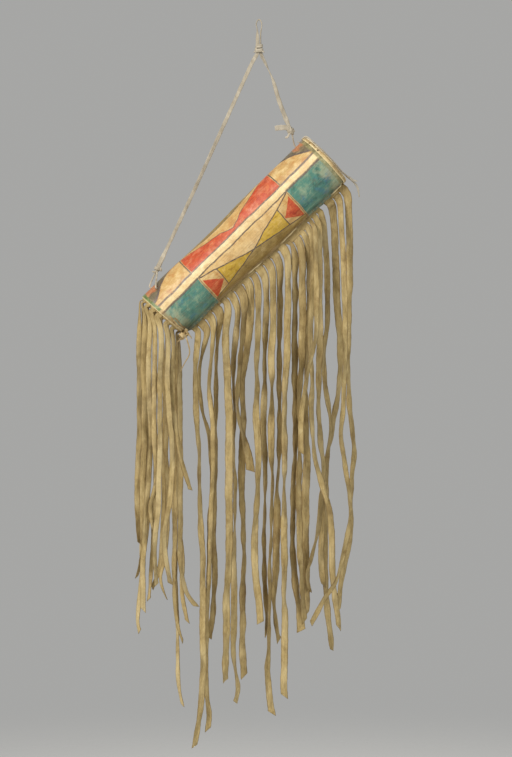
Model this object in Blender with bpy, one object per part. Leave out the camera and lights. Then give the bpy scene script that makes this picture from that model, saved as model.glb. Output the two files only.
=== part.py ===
"""A painted rawhide cylinder case with a lid, hung from a thong and trimmed with long hide fringes.

Metres, +Z up. The case hangs from a peg at the origin and is seen from the front, along +Y.
The tube rises from its base, lower left, to its lid, upper right.
"""

import math

import bmesh
import bpy
from mathutils import Vector

# Rawhide tube
TUBE_LENGTH = 0.383
TUBE_RISE = math.radians(43.9)
BASE_CENTRE = Vector((-0.162, 0.0, -0.506))
BASE_RADIUS = 0.0482
MOUTH_RADIUS = 0.0508
WALL = 0.0024
BASE_SLANT = 0.0040
BASE_OVERHANG = 0.0045
DENT = 0.0011
BORE_START = 0.0040
BORE_DEPTH = 0.0100

# Sewn seam along the tube's underside
SEAM_ANGLE = math.radians(170)
FLANGE_RISE = 0.0040
FLANGE_START = 0.010
FLANGE_END_CLEARANCE = 0.0012
FLANGE_LOW = 0.00015
SEAM_SHOULDER = 0.0016
FLANGE_RUNOUT = 0.0080
SEAM_LIFT = 0.0005

# Hide thickness and the gap kept between touching pieces
HIDE = 0.0014
THONG = 0.0017
GAP = 0.0004

# Lid
LID_SKIRT = 0.0062
LID_WALL = 0.0022
LID_CLEARANCE = 0.0006
LID_DOME = 0.0035
LID_CORNER = 0.0012
LACING_HOLE_RADIUS = 0.0013
LACING_HOLE_ANGLE = math.radians(70)
LACING_BORE_DEPTH = 0.0040

# Base dish
DISH_WALL = 0.0022
DISH_RIM = 0.0075
DISH_DEPTH = 0.0045
DISH_ROUND = 0.0015
DISH_SET_IN = 0.0032

# Fringe strips
BASE_HEADING_INSIDE = 0.0060
BASE_HEADING_OUT = 0.0030
SEAM_HEADING_INSIDE = 0.0030
SEAM_HEADING_OUT = 0.0040
LONG_HEADING_OUT = 0.0110
LONG_HEADING_SPAN = (0.600, 0.745)
SLIT = 0.0016
BASE_ROOT_WIDTH = 0.0100
HEADING_STEP = math.radians(9)
HEADING_BLEND = 0.0100
THONG_LEAD = 0.0060
RING_SPACING = 0.050
LANE_STEP = 0.0085
LANE_LEAD = 0.070

# Strap and ties
STRAP_WIDTH = 0.0072
STRAP_THICK = 0.0022
EYE_HALF_WIDTH = 0.0048
EYE_DROP = 0.0095
BINDING_TOP = -0.0405
BINDING_HEIGHT = 0.0155
BINDING_THICK = 0.0017
TIE_WIDTH = 0.0030
HOLE_RADIUS = 0.0027
TIE_RISE = 0.0046
TIE_INSIDE = 0.0045
BEAD = 1.9
LEFT_KNOT_STATION = 0.0417
LEFT_KNOT_RISE = 0.0150
RIGHT_KNOT_INSET = 0.0085
RIGHT_KNOT_RISE = 0.0270
LEFT_KNOT_WIDTH = 0.0112
LEFT_KNOT_THICK = 0.0072
RIGHT_KNOT_WIDTH = 0.0135
RIGHT_KNOT_THICK = 0.0085
BASE_KNOT_SIZE = (0.0100, 0.0058, 0.0043)
BASE_KNOT_RISE = 0.0045
FORK_HOLES = ((0.0150, math.radians(4)), (0.0215, math.radians(35)))
RIGHT_HOLE_INSET = 0.0207
HINGE_HOLE_INSET = 0.0130
KNOT_ANGLE = math.radians(157)

# Tracing units of the thongs' routes: one unit is this many metres, and routes count right and down.
# The seam stations count in marks, so that the fringes keep their places along a longer or shorter tube.
UNIT = 0.001722
MARK = TUBE_LENGTH / 222.4

# Directions along the tube, away from its underside, and away from the viewer
ALONG = Vector((math.cos(TUBE_RISE), 0.0, math.sin(TUBE_RISE)))
UP = Vector((-math.sin(TUBE_RISE), 0.0, math.cos(TUBE_RISE)))
BACK = Vector((0.0, 1.0, 0.0))

# Thongs of the seam fringe: the seam stations where each starts and ends, in marks from the base, the depth lane that keeps it clear of those that it crosses, and its route as points of
# (right, down, seen width). The first point is its root.
SEAM_THONGS = (
    (8, 14, 0, ((193, 328, 6), (195.5, 338, 5.5), (193.5, 362, 4.5), (193.5, 400, 5.5), (196.5, 445, 4),
                (196.7, 485, 2.6), (199, 525, 6), (200.5, 560, 5), (200.5, 610, 6.5), (200.5, 672, 6),
                (199, 702, 5.5), (196, 722, 5.5), (192, 745, 5))),
    (15, 24, 2, ((200, 322, 7), (205.5, 332, 4), (201.5, 350, 3), (197.7, 368, 3), (197.6, 390, 3.2),
                 (201, 411, 3), (207.5, 436, 4), (210.5, 470, 4), (208, 520, 4), (206.4, 570, 3.5),
                 (204.6, 640, 4.5), (204.6, 690, 4), (207.8, 714, 5.5), (206, 731, 5))),
    (25, 34, 1, ((207, 315, 7), (211.8, 326, 4.5), (211, 346, 3.6), (207.3, 380, 3), (209, 402, 5),
                 (211.3, 425, 5), (211.5, 470, 4.6), (209, 520, 4.6), (208, 560, 4), (206.6, 600, 4),
                 (204.5, 655, 4))),
    (35, 45, 3, ((214.5, 307.5, 7), (218.6, 319, 4), (215.6, 342, 3.4), (214.6, 380, 3.6), (214, 412, 4.6),
                 (213.3, 470, 4.4), (212, 530, 5.5), (213.2, 573, 6), (212.2, 592, 3), (210.8, 614, 6),
                 (207.5, 638.5, 5.5))),
    (48, 55, 0, ((223, 299.5, 6), (226.6, 311, 4.5), (224.3, 332, 6), (225, 358, 7.5), (227.7, 400, 7.5),
                 (227.6, 450, 8), (228, 520, 7.5), (227.6, 560, 6.5), (225, 600, 7), (224.6, 655, 6.5),
                 (224, 680, 4.5))),
    (56, 64, 2, ((229, 293.5, 6), (236, 309, 4.5), (234.5, 332, 6), (231.7, 370, 4), (233, 400, 2.6),
                 (232.2, 440, 2.8), (233.2, 490, 3.2), (233.2, 530, 2.8), (232.2, 570, 6), (232.5, 610, 6.5),
                 (231.8, 648, 5), (234.2, 671, 3.4), (236, 687, 4), (233.8, 702, 4.2))),
    (65, 75, 1, ((236, 286.5, 7), (242, 299, 4), (241.3, 322, 4), (238.5, 358, 5), (234.8, 396, 2.8),
                 (236.2, 413, 2.8), (241.5, 436, 5), (246.3, 455, 7.5), (248.8, 471, 8.5))),
    (76, 85, 3, ((243.5, 279.5, 7), (248.2, 292, 6.5), (248, 320, 8), (244.5, 346, 7.5), (239.8, 380, 5.5),
                 (240.6, 404, 5.5), (240.3, 440, 7), (239.6, 482, 7), (240.6, 522, 4.2), (241.4, 560, 4.6),
                 (240.3, 610, 6), (240.6, 650, 6.5), (242, 678, 6))),
    (86, 93, 0, ((250, 273, 6), (255.5, 287, 5), (255.4, 320, 6), (254.4, 350, 4.6), (254.8, 380, 4.6),
                 (253.4, 410, 6.5), (255.6, 450, 7), (255.2, 482, 4.2), (252.2, 540, 7), (253.6, 575, 7),
                 (256, 600, 7.2), (258, 621, 7))),
    (94, 103, 2, ((256.5, 267, 6.5), (263, 281, 5.5), (263.2, 320, 6), (261.7, 350, 4.5), (262.2, 380, 4),
                  (260.8, 410, 6.5), (262.2, 455, 5), (262, 500, 3), (261.5, 540, 3.5), (262, 575, 5),
                  (263.7, 610, 3), (263.6, 635, 2.5))),
    (104, 113, 1, ((264, 260, 6.5), (270, 275, 5.5), (270.3, 315, 6.5), (268.7, 355, 7), (269.4, 390, 2.8),
                   (268.4, 425, 7), (269.3, 470, 3.4), (268.3, 520, 2.8), (267, 580, 3.2), (265.8, 645, 3.2),
                   (264.6, 668, 6), (266.3, 692, 6.5), (270, 713, 6.8))),
    (114, 123, 3, ((271, 253, 6.5), (277, 268, 5.5), (277.5, 305, 5.5), (276.3, 350, 5), (276.8, 400, 4.5),
                   (277, 435, 5), (275.2, 480, 3), (273.6, 522, 7.5), (273.2, 562, 7), (271.6, 595, 4),
                   (272.8, 618, 4.2), (276.6, 641, 4.6))),
    (125, 134, 0, ((279, 245.5, 6.5), (285, 261, 6), (284.5, 300, 6.5), (284, 345, 7), (282, 392, 5),
                   (281.5, 440, 6), (281.2, 490, 3.4), (281.3, 540, 7), (281.4, 590, 3.6), (281.6, 625, 7),
                   (280.8, 675, 7), (282.6, 695.5, 6.6))),
    (136, 140, 2, ((285, 239.5, 4.4), (290, 256, 4.6), (290.5, 300, 5.5), (290, 350, 6), (290.6, 400, 6),
                   (290.4, 450, 5), (288.6, 500, 5.5), (288, 550, 5.5), (291.2, 582, 6.5), (294.6, 606, 7),
                   (296.3, 628, 8.5))),
    (141, 150, 1, ((290.5, 234.5, 6), (296.5, 252, 6), (297.2, 300, 7.5), (296, 350, 7), (293.8, 395, 4),
                   (294.3, 440, 4), (293, 500, 6.5), (294.4, 545, 5.5), (296.5, 580, 5), (299, 618, 4.5))),
    (151, 157, 3, ((296, 229, 5), (303, 247, 5), (303.2, 300, 6), (301.5, 345, 5), (299.3, 372, 3),
                   (300, 410, 5.5), (300.8, 450, 7), (299.4, 500, 8), (300, 545, 6.5), (300.8, 585, 7),
                   (300.7, 613, 5.5))),
    (158, 165, 0, ((301.5, 223.5, 5.5), (308, 241, 5), (307.6, 300, 6), (305.6, 332, 5), (307.8, 380, 4.6),
                   (306.7, 405, 5), (309.4, 448, 4), (317.4, 480, 5.5), (325, 506, 6), (327, 545, 6.5),
                   (328.6, 582, 6), (333.2, 612, 5), (334.2, 627, 3.6))),
    (166, 170, -2, ((306.5, 219, 4.2), (312.5, 236, 4.6), (313, 300, 5.5), (312.4, 335, 4), (305.6, 368, 3.6),
                   (300.2, 398, 5), (297.8, 425, 5.5), (298.6, 453, 5.5))),
    (171, 177, 2, ((311, 214.5, 5.5), (316.8, 233, 5.5), (317, 300, 7), (317, 350, 6.5), (315.7, 400, 4.6),
                   (318, 440, 5), (321.4, 466, 4.6), (318.5, 495, 4.6), (315.8, 522, 4.4), (309, 556, 3.4),
                   (304.7, 573, 2.6), (307.7, 591, 2.4))),
    (178, 184, 4, ((315.5, 210, 5), (321.5, 229, 5), (324.2, 275, 6), (324.8, 312, 5), (321.6, 348, 4),
                   (322, 380, 5), (327.4, 418, 3.6), (325, 450, 4), (321.5, 490, 4), (318.6, 535, 5.5),
                   (318.8, 565, 6), (320.6, 587, 5))),
)

# Thongs of the mouth fringe, in the same form
MOUTH_THONGS = (
    (190, 199, 6, ((326, 200, 7), (331.2, 217, 7), (335.3, 290, 7.5), (338.4, 345, 6), (336.8, 388, 5.5),
                   (330.4, 424, 4.6), (325.6, 460, 4.2), (324, 500, 4.6), (323, 550, 5.5), (325, 602, 6),
                   (328, 630, 5), (330.4, 651, 4.6))),
    (200, 208, -2, ((333, 193.5, 6), (338, 212, 5.5), (341, 290, 5.5), (341.6, 350, 4.5), (340.6, 396, 4.6),
                   (337.4, 430, 4.6), (340.8, 459, 4.6), (346.6, 495, 4), (346.3, 517, 4.4), (340.6, 547, 4.4),
                   (333.5, 575, 4), (321, 594, 4.6), (306.5, 620, 5))),
    (209, 218, 1, ((340, 186.5, 7), (346.2, 205, 7), (346.8, 290, 6.5), (345.6, 350, 5), (346.2, 388, 4.6),
                   (349.4, 428, 5), (351.6, 452, 5), (348.8, 487, 4), (348.6, 522, 5), (343.2, 556, 5),
                   (337.8, 585, 5.5), (334.8, 612, 4))),
)

# Thongs of the base fringe: the angle round the rim, how many millimetres it eases back, and its route
BASE_THONGS = (
    (14, 0, ((146, 299, 5), (143.4, 316, 5), (142.8, 360, 5), (143, 420, 5), (141, 480, 5.5), (142, 520, 4.5),
             (142.6, 543, 4.4))),
    (32, 0, ((147, 302, 5), (147.5, 320, 5.5), (146.6, 365, 6), (147, 430, 5.5), (145.2, 490, 6),
             (146, 540, 5), (142.6, 562, 3), (138.8, 577, 2.6))),
    (51, 0, ((151, 306, 5), (152.3, 324, 5.5), (151, 370, 5.5), (153.5, 430, 5), (151, 480, 5), (147, 530, 5),
             (145.8, 570, 5.5), (146, 611, 5))),
    (69, 0, ((156, 310, 5), (157.4, 330, 4.6), (156.5, 375, 5), (156.8, 430, 5), (158.4, 480, 4.6),
             (152.6, 505, 4), (156.6, 528, 4))),
    (87, 0, ((161, 315, 5), (162.4, 334, 4.4), (161.6, 380, 5), (161, 430, 5), (160, 500, 5.5), (156, 545, 4),
             (158.4, 583, 4))),
    (112, 0, ((169, 322, 5), (169, 340, 5), (168.4, 385, 5.5), (172.2, 440, 5), (171.6, 490, 5.5),
              (165, 540, 4.6), (171.6, 582, 4.2))),
    (131, 0, ((174, 327, 5), (173.6, 346, 4.4), (172.6, 390, 5.5), (176.6, 430, 4.6), (184, 467, 4),
              (190.4, 489, 3.4))),
    (169, 0, ((179, 332, 5), (177.4, 350, 4.6), (177.6, 395, 5), (178.4, 450, 5.5), (178.6, 520, 5),
              (178, 560, 4.6), (183.5, 588, 4), (195.8, 606, 3.6))),
    (192, 0, ((183, 336, 5), (181.6, 352, 5), (181.2, 400, 5), (180.6, 460, 4.6), (181, 520, 4),
              (184, 560, 4.2), (183.4, 592, 4.4), (189.6, 627, 4))),
    (212, 0, ((181, 334, 5), (179.4, 352, 5), (178, 400, 5), (178.8, 470, 5), (176.6, 540, 4.6),
              (176.8, 600, 4), (179.6, 628, 3), (185.4, 648, 2.6))),
    (232, 0, ((175, 328, 5), (174.4, 350, 5), (174.6, 410, 5), (173.6, 470, 5), (174.8, 530, 4.6),
              (176.2, 590, 4), (178.4, 650, 3.6), (178.4, 680, 4), (183, 711, 3))),
    (252, -4, ((169, 323, 5), (168, 345, 5), (167, 400, 5), (166.6, 460, 4.6), (169, 510, 4.4), (164.6, 560, 4),
              (160.4, 582, 3), (167.4, 603, 2.2))),
    (272, 4, ((162, 315, 5), (161.6, 340, 5), (164.4, 400, 5), (164, 470, 5), (162.6, 530, 4.6),
              (158.4, 570, 4.4), (150.6, 591, 4.4))),
    (292, 0, ((156, 310, 5), (155.4, 340, 5), (154.6, 400, 5), (156.4, 470, 5), (154, 530, 5),
              (151, 580, 4), (149, 604, 3.4))),
    (312, 0, ((151, 305, 5), (150, 335, 5), (149.4, 400, 5), (149.6, 470, 5), (148.4, 520, 4.6),
              (143.4, 570, 4.4), (141.2, 600, 4.4), (138.8, 622, 4), (141.2, 636, 3.6))),
    (332, 0, ((147, 300, 5), (145.4, 325, 5), (145, 390, 5), (145.4, 460, 5), (143.2, 520, 5), (145, 566, 4))),
)

# Finishes: colour, roughness, metallic
FINISHES = {
    "painted_rawhide": ((0.80, 0.68, 0.42), 0.42, 0.0),
    "pale_rawhide": ((0.82, 0.72, 0.47), 0.48, 0.0),
    "brown_rawhide": ((0.50, 0.38, 0.22), 0.55, 0.0),
    "fringe_hide": ((0.55, 0.44, 0.27), 0.80, 0.0),
    "strap_hide": ((0.60, 0.52, 0.38), 0.80, 0.0),
}


def clear_scene():
    """Remove every object that the scene starts with."""
    for thing in list(bpy.data.objects):
        bpy.data.objects.remove(thing, do_unlink=True)


def finish(name):
    """Return the named finish, made on first use."""
    material = bpy.data.materials.get(name)
    if material is None:
        colour, roughness, metallic = FINISHES[name]
        material = bpy.data.materials.new(name)
        material.use_nodes = True
        shader = material.node_tree.nodes["Principled BSDF"]
        shader.inputs["Base Color"].default_value = (*colour, 1.0)
        shader.inputs["Roughness"].default_value = roughness
        shader.inputs["Metallic"].default_value = metallic
    return material


def add_piece(name, bm, surface, smooth=True):
    """Turn a bmesh into a named object with its own finish, its faces pointing out."""
    bmesh.ops.recalc_face_normals(bm, faces=bm.faces)
    mesh = bpy.data.meshes.new(name)
    bm.to_mesh(mesh)
    bm.free()
    if smooth:
        mesh.shade_smooth()
        mesh.set_sharp_from_angle(angle=math.radians(40))
    mesh.materials.append(finish(surface))
    piece = bpy.data.objects.new(name, mesh)
    bpy.context.scene.collection.objects.link(piece)
    return piece


def combine(piece, other, operation):
    """Join another object to a piece, or cut it away, and remove the other object."""
    modifier = piece.modifiers.new(operation.lower(), "BOOLEAN")
    modifier.operation = operation
    modifier.solver = "EXACT"
    modifier.object = other
    graph = bpy.context.evaluated_depsgraph_get()
    mesh = bpy.data.meshes.new_from_object(piece.evaluated_get(graph))
    piece.modifiers.clear()
    old = piece.data
    piece.data = mesh
    bpy.data.meshes.remove(old)
    bpy.data.objects.remove(other, do_unlink=True)


def smooth_step(value):
    """Ease from 0 to 1 as the value goes from 0 to 1."""
    value = min(max(value, 0.0), 1.0)
    return value * value * (3.0 - 2.0 * value)


def outward(angle):
    """Return the direction away from the tube's axis, the angle counted from its top to the viewer."""
    return UP * math.cos(angle) - BACK * math.sin(angle)


def around(angle):
    """Return the direction round the tube in which the angle grows."""
    return -UP * math.sin(angle) - BACK * math.cos(angle)


def tube_point(station, radius, angle):
    """Return the point at a station along the axis, a radius from it and an angle round it."""
    return BASE_CENTRE + ALONG * station + outward(angle) * radius


def tube_radius(station, angle):
    """Return the outer radius: a slight taper, with the soft dents that dried hide has."""
    share = station / TUBE_LENGTH
    taper = BASE_RADIUS + (MOUTH_RADIUS - BASE_RADIUS) * share
    swell = math.sin(math.pi * min(max(share, 0.0), 1.0))
    dent = math.cos(3.0 * angle + 7.0 * share) + 0.8 * math.cos(2.0 * angle - 11.0 * share)
    return taper + DENT * swell * dent - DENT * 0.9 * swell * swell


def wall_point(station, rise, angle):
    """Return the point at a rise over the tube's outer surface."""
    return tube_point(station, tube_radius(station, angle) + rise, angle)


def base_edge(angle):
    """Return the station of the tube's lower edge, which is cut a little aslant."""
    return -BASE_OVERHANG - BASE_SLANT * math.cos(angle)


def flange_rise(station):
    """Return how far the sewn edges stand out: low at both ends and uneven between."""
    end = TUBE_LENGTH - LID_SKIRT - FLANGE_END_CLEARANCE
    near = smooth_step((station - FLANGE_START * 0.5) / FLANGE_START)
    far = smooth_step((end - station) / FLANGE_RUNOUT)
    wave = 0.82 + 0.18 * math.sin(station * 61.0) * math.sin(station * 23.0 + 1.0)
    return FLANGE_LOW + (FLANGE_RISE - FLANGE_LOW) * min(near, far) * wave


def wall_section(station, turns=36):
    """Return the outer and inner outlines of the rolled sheet, from one sewn edge to the other."""
    slit = HIDE / 2 + GAP
    out = outward(SEAM_ANGLE)
    side = around(SEAM_ANGLE)
    radius = tube_radius(station, SEAM_ANGLE)
    rise = flange_rise(station)
    lift = SEAM_LIFT * abs(math.sin(station * 83.0)) * smooth_step(rise / FLANGE_RISE)
    step = (slit + WALL + SEAM_SHOULDER) / radius
    edges = []
    for sign in (1.0, -1.0):
        start = BASE_CENTRE + ALONG * base_shift(station, SEAM_ANGLE)
        tip = [start + out * (radius + rise) + side * sign * (slit + WALL * 0.8 + lift),
               start + out * (radius + rise) + side * sign * slit]
        root = [start + out * radius + side * sign * (slit + WALL),
                start + out * (radius - WALL) + side * sign * slit]
        edges.append((tip, root))
    outer = [edges[0][0][0], edges[0][1][0]]
    inner = [edges[0][0][1], edges[0][1][1]]
    for turn in range(turns + 1):
        angle = SEAM_ANGLE + step + (2.0 * math.pi - 2.0 * step) * turn / turns
        shift = ALONG * base_shift(station, angle)
        reach = tube_radius(station, angle)
        outer.append(BASE_CENTRE + shift + outward(angle) * reach)
        inner.append(BASE_CENTRE + shift + outward(angle) * (reach - WALL))
    outer += [edges[1][1][0], edges[1][0][0]]
    inner += [edges[1][1][1], edges[1][0][1]]
    return outer, inner


def base_shift(station, angle):
    """Return a station, with the lowest ones drawn out to the aslant lower edge."""
    if station > 0.0:
        return station
    return station + base_edge(angle)


def solid_from_sections(bm, outer_rows, inner_rows):
    """Build a sheet with thickness from rows of outer and inner points."""
    outer = [[bm.verts.new(point) for point in row] for row in outer_rows]
    inner = [[bm.verts.new(point) for point in row] for row in inner_rows]
    rows = len(outer)
    columns = len(outer[0])
    for r in range(rows - 1):
        for c in range(columns - 1):
            bm.faces.new((outer[r][c], outer[r][c + 1], outer[r + 1][c + 1], outer[r + 1][c]))
            bm.faces.new((inner[r][c], inner[r + 1][c], inner[r + 1][c + 1], inner[r][c + 1]))
        for c in (0, columns - 1):
            bm.faces.new((outer[r][c], outer[r + 1][c], inner[r + 1][c], inner[r][c]))
    for r in (0, rows - 1):
        for c in range(columns - 1):
            bm.faces.new((outer[r][c], inner[r][c], inner[r][c + 1], outer[r][c + 1]))


def turned(bm, profile, place, steps=36):
    """Turn a profile of (radius, station) about the tube's axis; a zero radius is a pole."""
    rings = []
    for radius, station in profile:
        if radius <= 0.0:
            rings.append([bm.verts.new(place(radius, station, 0.0))])
        else:
            ring = [place(radius, station, 2.0 * math.pi * k / steps) for k in range(steps)]
            rings.append([bm.verts.new(point) for point in ring])
    for first, second in zip(rings, rings[1:]):
        for k in range(steps):
            following = (k + 1) % steps
            if len(first) == 1:
                bm.faces.new((first[0], second[k], second[following]))
            elif len(second) == 1:
                bm.faces.new((first[k], second[0], first[following]))
            else:
                bm.faces.new((first[k], second[k], second[following], first[following]))


def curve_through(points, spacing):
    """Return points at even steps along a smooth curve through the given ones, with their extra values."""
    dense = []
    for i in range(len(points) - 1):
        before = points[max(i - 1, 0)]
        start = points[i]
        end = points[i + 1]
        after = points[min(i + 2, len(points) - 1)]
        for k in range(8):
            t = k / 8.0
            row = []
            for a, b, c, d in zip(before, start, end, after):
                row.append(0.5 * (2 * b + (c - a) * t + (2 * a - 5 * b + 4 * c - d) * t * t
                                  + (3 * b - a - 3 * c + d) * t ** 3))
            dense.append(row)
    dense.append(list(points[-1]))
    lengths = [0.0]
    for first, second in zip(dense, dense[1:]):
        lengths.append(lengths[-1] + math.dist(first[:3], second[:3]))
    count = max(2, round(lengths[-1] / spacing))
    result = []
    at = 0
    for k in range(count + 1):
        want = lengths[-1] * k / count
        while at < len(lengths) - 2 and lengths[at + 1] < want:
            at += 1
        part = (want - lengths[at]) / max(lengths[at + 1] - lengths[at], 1e-9)
        result.append([a + (b - a) * part for a, b in zip(dense[at], dense[at + 1])])
    return result


def ring_points(centre, tangent, turn, width, thick):
    """Return the four corners of a flat thong, its width turned from the viewer's plane by an angle."""
    flat = Vector((-tangent.z, 0.0, tangent.x))
    if flat.length < 1e-6:
        flat = Vector((1.0, 0.0, 0.0))
    flat.normalize()
    across = flat * math.cos(turn) + BACK * math.sin(turn)
    across -= tangent * across.dot(tangent)
    across.normalize()
    face = tangent.cross(across)
    half = across * (width / 2)
    deep = face * (thick / 2)
    return [centre - half + deep, centre + half + deep, centre + half - deep, centre - half - deep]


def continue_thong(bm, ring, rows):
    """Carry a ring of four vertices on through rows of corners and close the end."""
    for corners in rows:
        following = [bm.verts.new(point) for point in corners]
        for k in range(4):
            bm.faces.new((ring[k], ring[(k + 1) % 4], following[(k + 1) % 4], following[k]))
        ring = following
    bm.faces.new(ring)


def thong_rows(path, full_width, start_turn, hang_turn):
    """Return the corner rows of a thong along a path of (x, y, z, seen width) rows."""
    rows = []
    last = len(path) - 1
    for k in range(1, last + 1):
        here = Vector(path[k][:3])
        ahead = Vector(path[min(k + 1, last)][:3])
        behind = Vector(path[k - 1][:3])
        tangent = (ahead - behind).normalized()
        seen = min(max(path[k][3] / full_width, 0.25), 1.0)
        twist = math.acos(seen)
        ease = smooth_step(k / 3.0)
        turn = start_turn + (hang_turn + twist * (1 if hang_turn < 1 else -1) - start_turn) * ease
        rows.append(ring_points(here, tangent, turn, full_width, THONG))
    return rows


def hang_path(root, lead, route, lane):
    """Return a thong's centre line: out of its heading, then down its route, eased into its depth lane."""
    first = route[0]
    points = [(*root, first[2] * UNIT)]
    points.append((*(root + lead * THONG_LEAD), first[2] * UNIT))
    for right, down, width in route[1:]:
        x = root.x + (right - first[0]) * UNIT
        z = root.z - (down - first[1]) * UNIT
        y = root.y + (lane * smooth_step((root.z - z) / LANE_LEAD))
        points.append((x, y, z, width * UNIT))
    return curve_through(points, RING_SPACING)


def fringe(name, columns, front, back, thongs):
    """Build one fringe: a heading of front and back points by column and row, and a thong per open column.

    columns is the number of column lines, front and back give a point from (column, row), and thongs maps
    a column to its rows of corners.
    """
    bm = bmesh.new()
    rows = 3
    face = [[bm.verts.new(front(c, r)) for r in range(rows)] for c in range(columns)]
    rear = [[bm.verts.new(back(c, r)) for r in range(rows)] for c in range(columns)]
    for c in range(columns - 1):
        for r in range(rows - 1):
            bm.faces.new((face[c][r], face[c + 1][r], face[c + 1][r + 1], face[c][r + 1]))
            bm.faces.new((rear[c][r], rear[c][r + 1], rear[c + 1][r + 1], rear[c + 1][r]))
        bm.faces.new((face[c][0], rear[c][0], rear[c + 1][0], face[c + 1][0]))
        ring = [face[c][-1], face[c + 1][-1], rear[c + 1][-1], rear[c][-1]]
        if c in thongs:
            continue_thong(bm, ring, thongs[c])
        else:
            bm.faces.new(ring)
    for c in (0, columns - 1):
        for r in range(rows - 1):
            bm.faces.new((face[c][r], face[c][r + 1], rear[c][r + 1], rear[c][r]))
    bmesh.ops.triangulate(bm, faces=bm.faces, quad_method="SHORT_EDGE")
    return add_piece(name, bm, "fringe_hide")


def seam_fringe(name, thongs):
    """Build a fringe strip that is held in the tube's long seam."""
    out = outward(SEAM_ANGLE)
    side = around(SEAM_ANGLE)
    stations = []
    for start, end, _, _ in thongs:
        stations += [start * MARK + SLIT / 2, (end + 1) * MARK - SLIT / 2]

    def heading_out(station):
        low, high = (share * TUBE_LENGTH for share in LONG_HEADING_SPAN)
        long = smooth_step((station - low) / HEADING_BLEND) * smooth_step((high - station) / HEADING_BLEND)
        return SEAM_HEADING_OUT + (LONG_HEADING_OUT - SEAM_HEADING_OUT) * long

    def at(column, row, half):
        station = stations[column]
        radius = tube_radius(station, SEAM_ANGLE)
        reach = (radius - WALL - SEAM_HEADING_INSIDE, radius + FLANGE_RISE + GAP,
                 radius + FLANGE_RISE + heading_out(station))[row]
        return BASE_CENTRE + ALONG * station + out * reach + side * half

    runs = {}
    for index, (_, _, lane, route) in enumerate(thongs):
        column = 2 * index
        root = (at(column, 2, 0.0) + at(column + 1, 2, 0.0)) / 2
        full = max(width for _, _, width in route[1:]) * UNIT
        path = hang_path(root, out, route, (lane - 1.5) * LANE_STEP)
        runs[column] = thong_rows(path, full, 0.0, 0.0)
    return fringe(name, len(stations), lambda c, r: at(c, r, -HIDE / 2), lambda c, r: at(c, r, HIDE / 2), runs)


def base_fringe():
    """Build the fringe strip that is held round the base, between the tube's edge and the dish's rim."""
    order = sorted(BASE_THONGS, key=lambda thong: (thong[0] - 180) % 360)
    lines = []
    openings = []
    for centre, _, _ in order:
        half = BASE_ROOT_WIDTH / 2 / BASE_RADIUS
        middle = math.radians(180 + (centre - 180) % 360)
        if lines:
            gap = middle - half - lines[-1]
            extra = math.ceil(gap / HEADING_STEP) - 1
            lines += [lines[-1] + gap * k / (extra + 1) for k in range(1, extra + 1)]
        openings.append(len(lines))
        lines += [middle - half, middle + half]

    def at(column, row, half):
        angle = lines[column]
        station = (BASE_HEADING_INSIDE, base_edge(angle), base_edge(angle) - BASE_HEADING_OUT)[row]
        radius = tube_radius(0.0, angle) - WALL - GAP - HIDE / 2 + half
        return tube_point(station, radius, angle)

    runs = {}
    for column, (centre, ease, route) in zip(openings, order):
        root = (at(column, 2, 0.0) + at(column + 1, 2, 0.0)) / 2
        full = max(width for _, _, width in route[1:]) * UNIT
        angle = math.radians(centre)
        start = math.atan2(-math.cos(angle), math.sin(angle) * math.sin(TUBE_RISE))
        if start < -math.pi / 2 - 0.01:
            start += 2.0 * math.pi
        hang = 0.0 if math.sin(angle) > 0.0 else math.pi
        path = hang_path(root, -ALONG, route, ease * 0.001)
        runs[column] = thong_rows(path, full, start, hang)
    return fringe("base_fringe", len(lines), lambda c, r: at(c, r, HIDE / 2),
                  lambda c, r: at(c, r, -HIDE / 2), runs)


def ribbon(bm, path, turns, widths, thicks):
    """Sweep a flat thong along a path, with a turn, width and thickness per point."""
    last = len(path) - 1
    rings = []
    for k, point in enumerate(path):
        here = Vector(point)
        tangent = (Vector(path[min(k + 1, last)]) - Vector(path[max(k - 1, 0)])).normalized()
        rings.append([bm.verts.new(p) for p in ring_points(here, tangent, turns[k], widths[k], thicks[k])])
    for first, second in zip(rings, rings[1:]):
        for k in range(4):
            bm.faces.new((first[k], first[(k + 1) % 4], second[(k + 1) % 4], second[k]))
    bm.faces.new(rings[0])
    bm.faces.new(rings[-1])


def even_values(path, keys):
    """Return a value for each path point, read from keys of (share of the path, value)."""
    lengths = [0.0]
    for first, second in zip(path, path[1:]):
        lengths.append(lengths[-1] + math.dist(first, second))
    values = []
    for length in lengths:
        share = length / lengths[-1]
        for (s0, v0), (s1, v1) in zip(keys, keys[1:]):
            if share <= s1 or (s1, v1) == keys[-1]:
                part = smooth_step((share - s0) / (s1 - s0))
                values.append(v0 + (v1 - v0) * part)
                break
    return values


def thong_piece(bm, points, spacing, turn_keys, width_keys, thick_keys):
    """Add one swept thong to a bmesh, from its route and its keyed turns, widths and thicknesses."""
    path = [Vector(row) for row in curve_through([tuple(point) for point in points], spacing)]
    ribbon(bm, path, even_values(path, turn_keys), even_values(path, width_keys), even_values(path, thick_keys))


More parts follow.
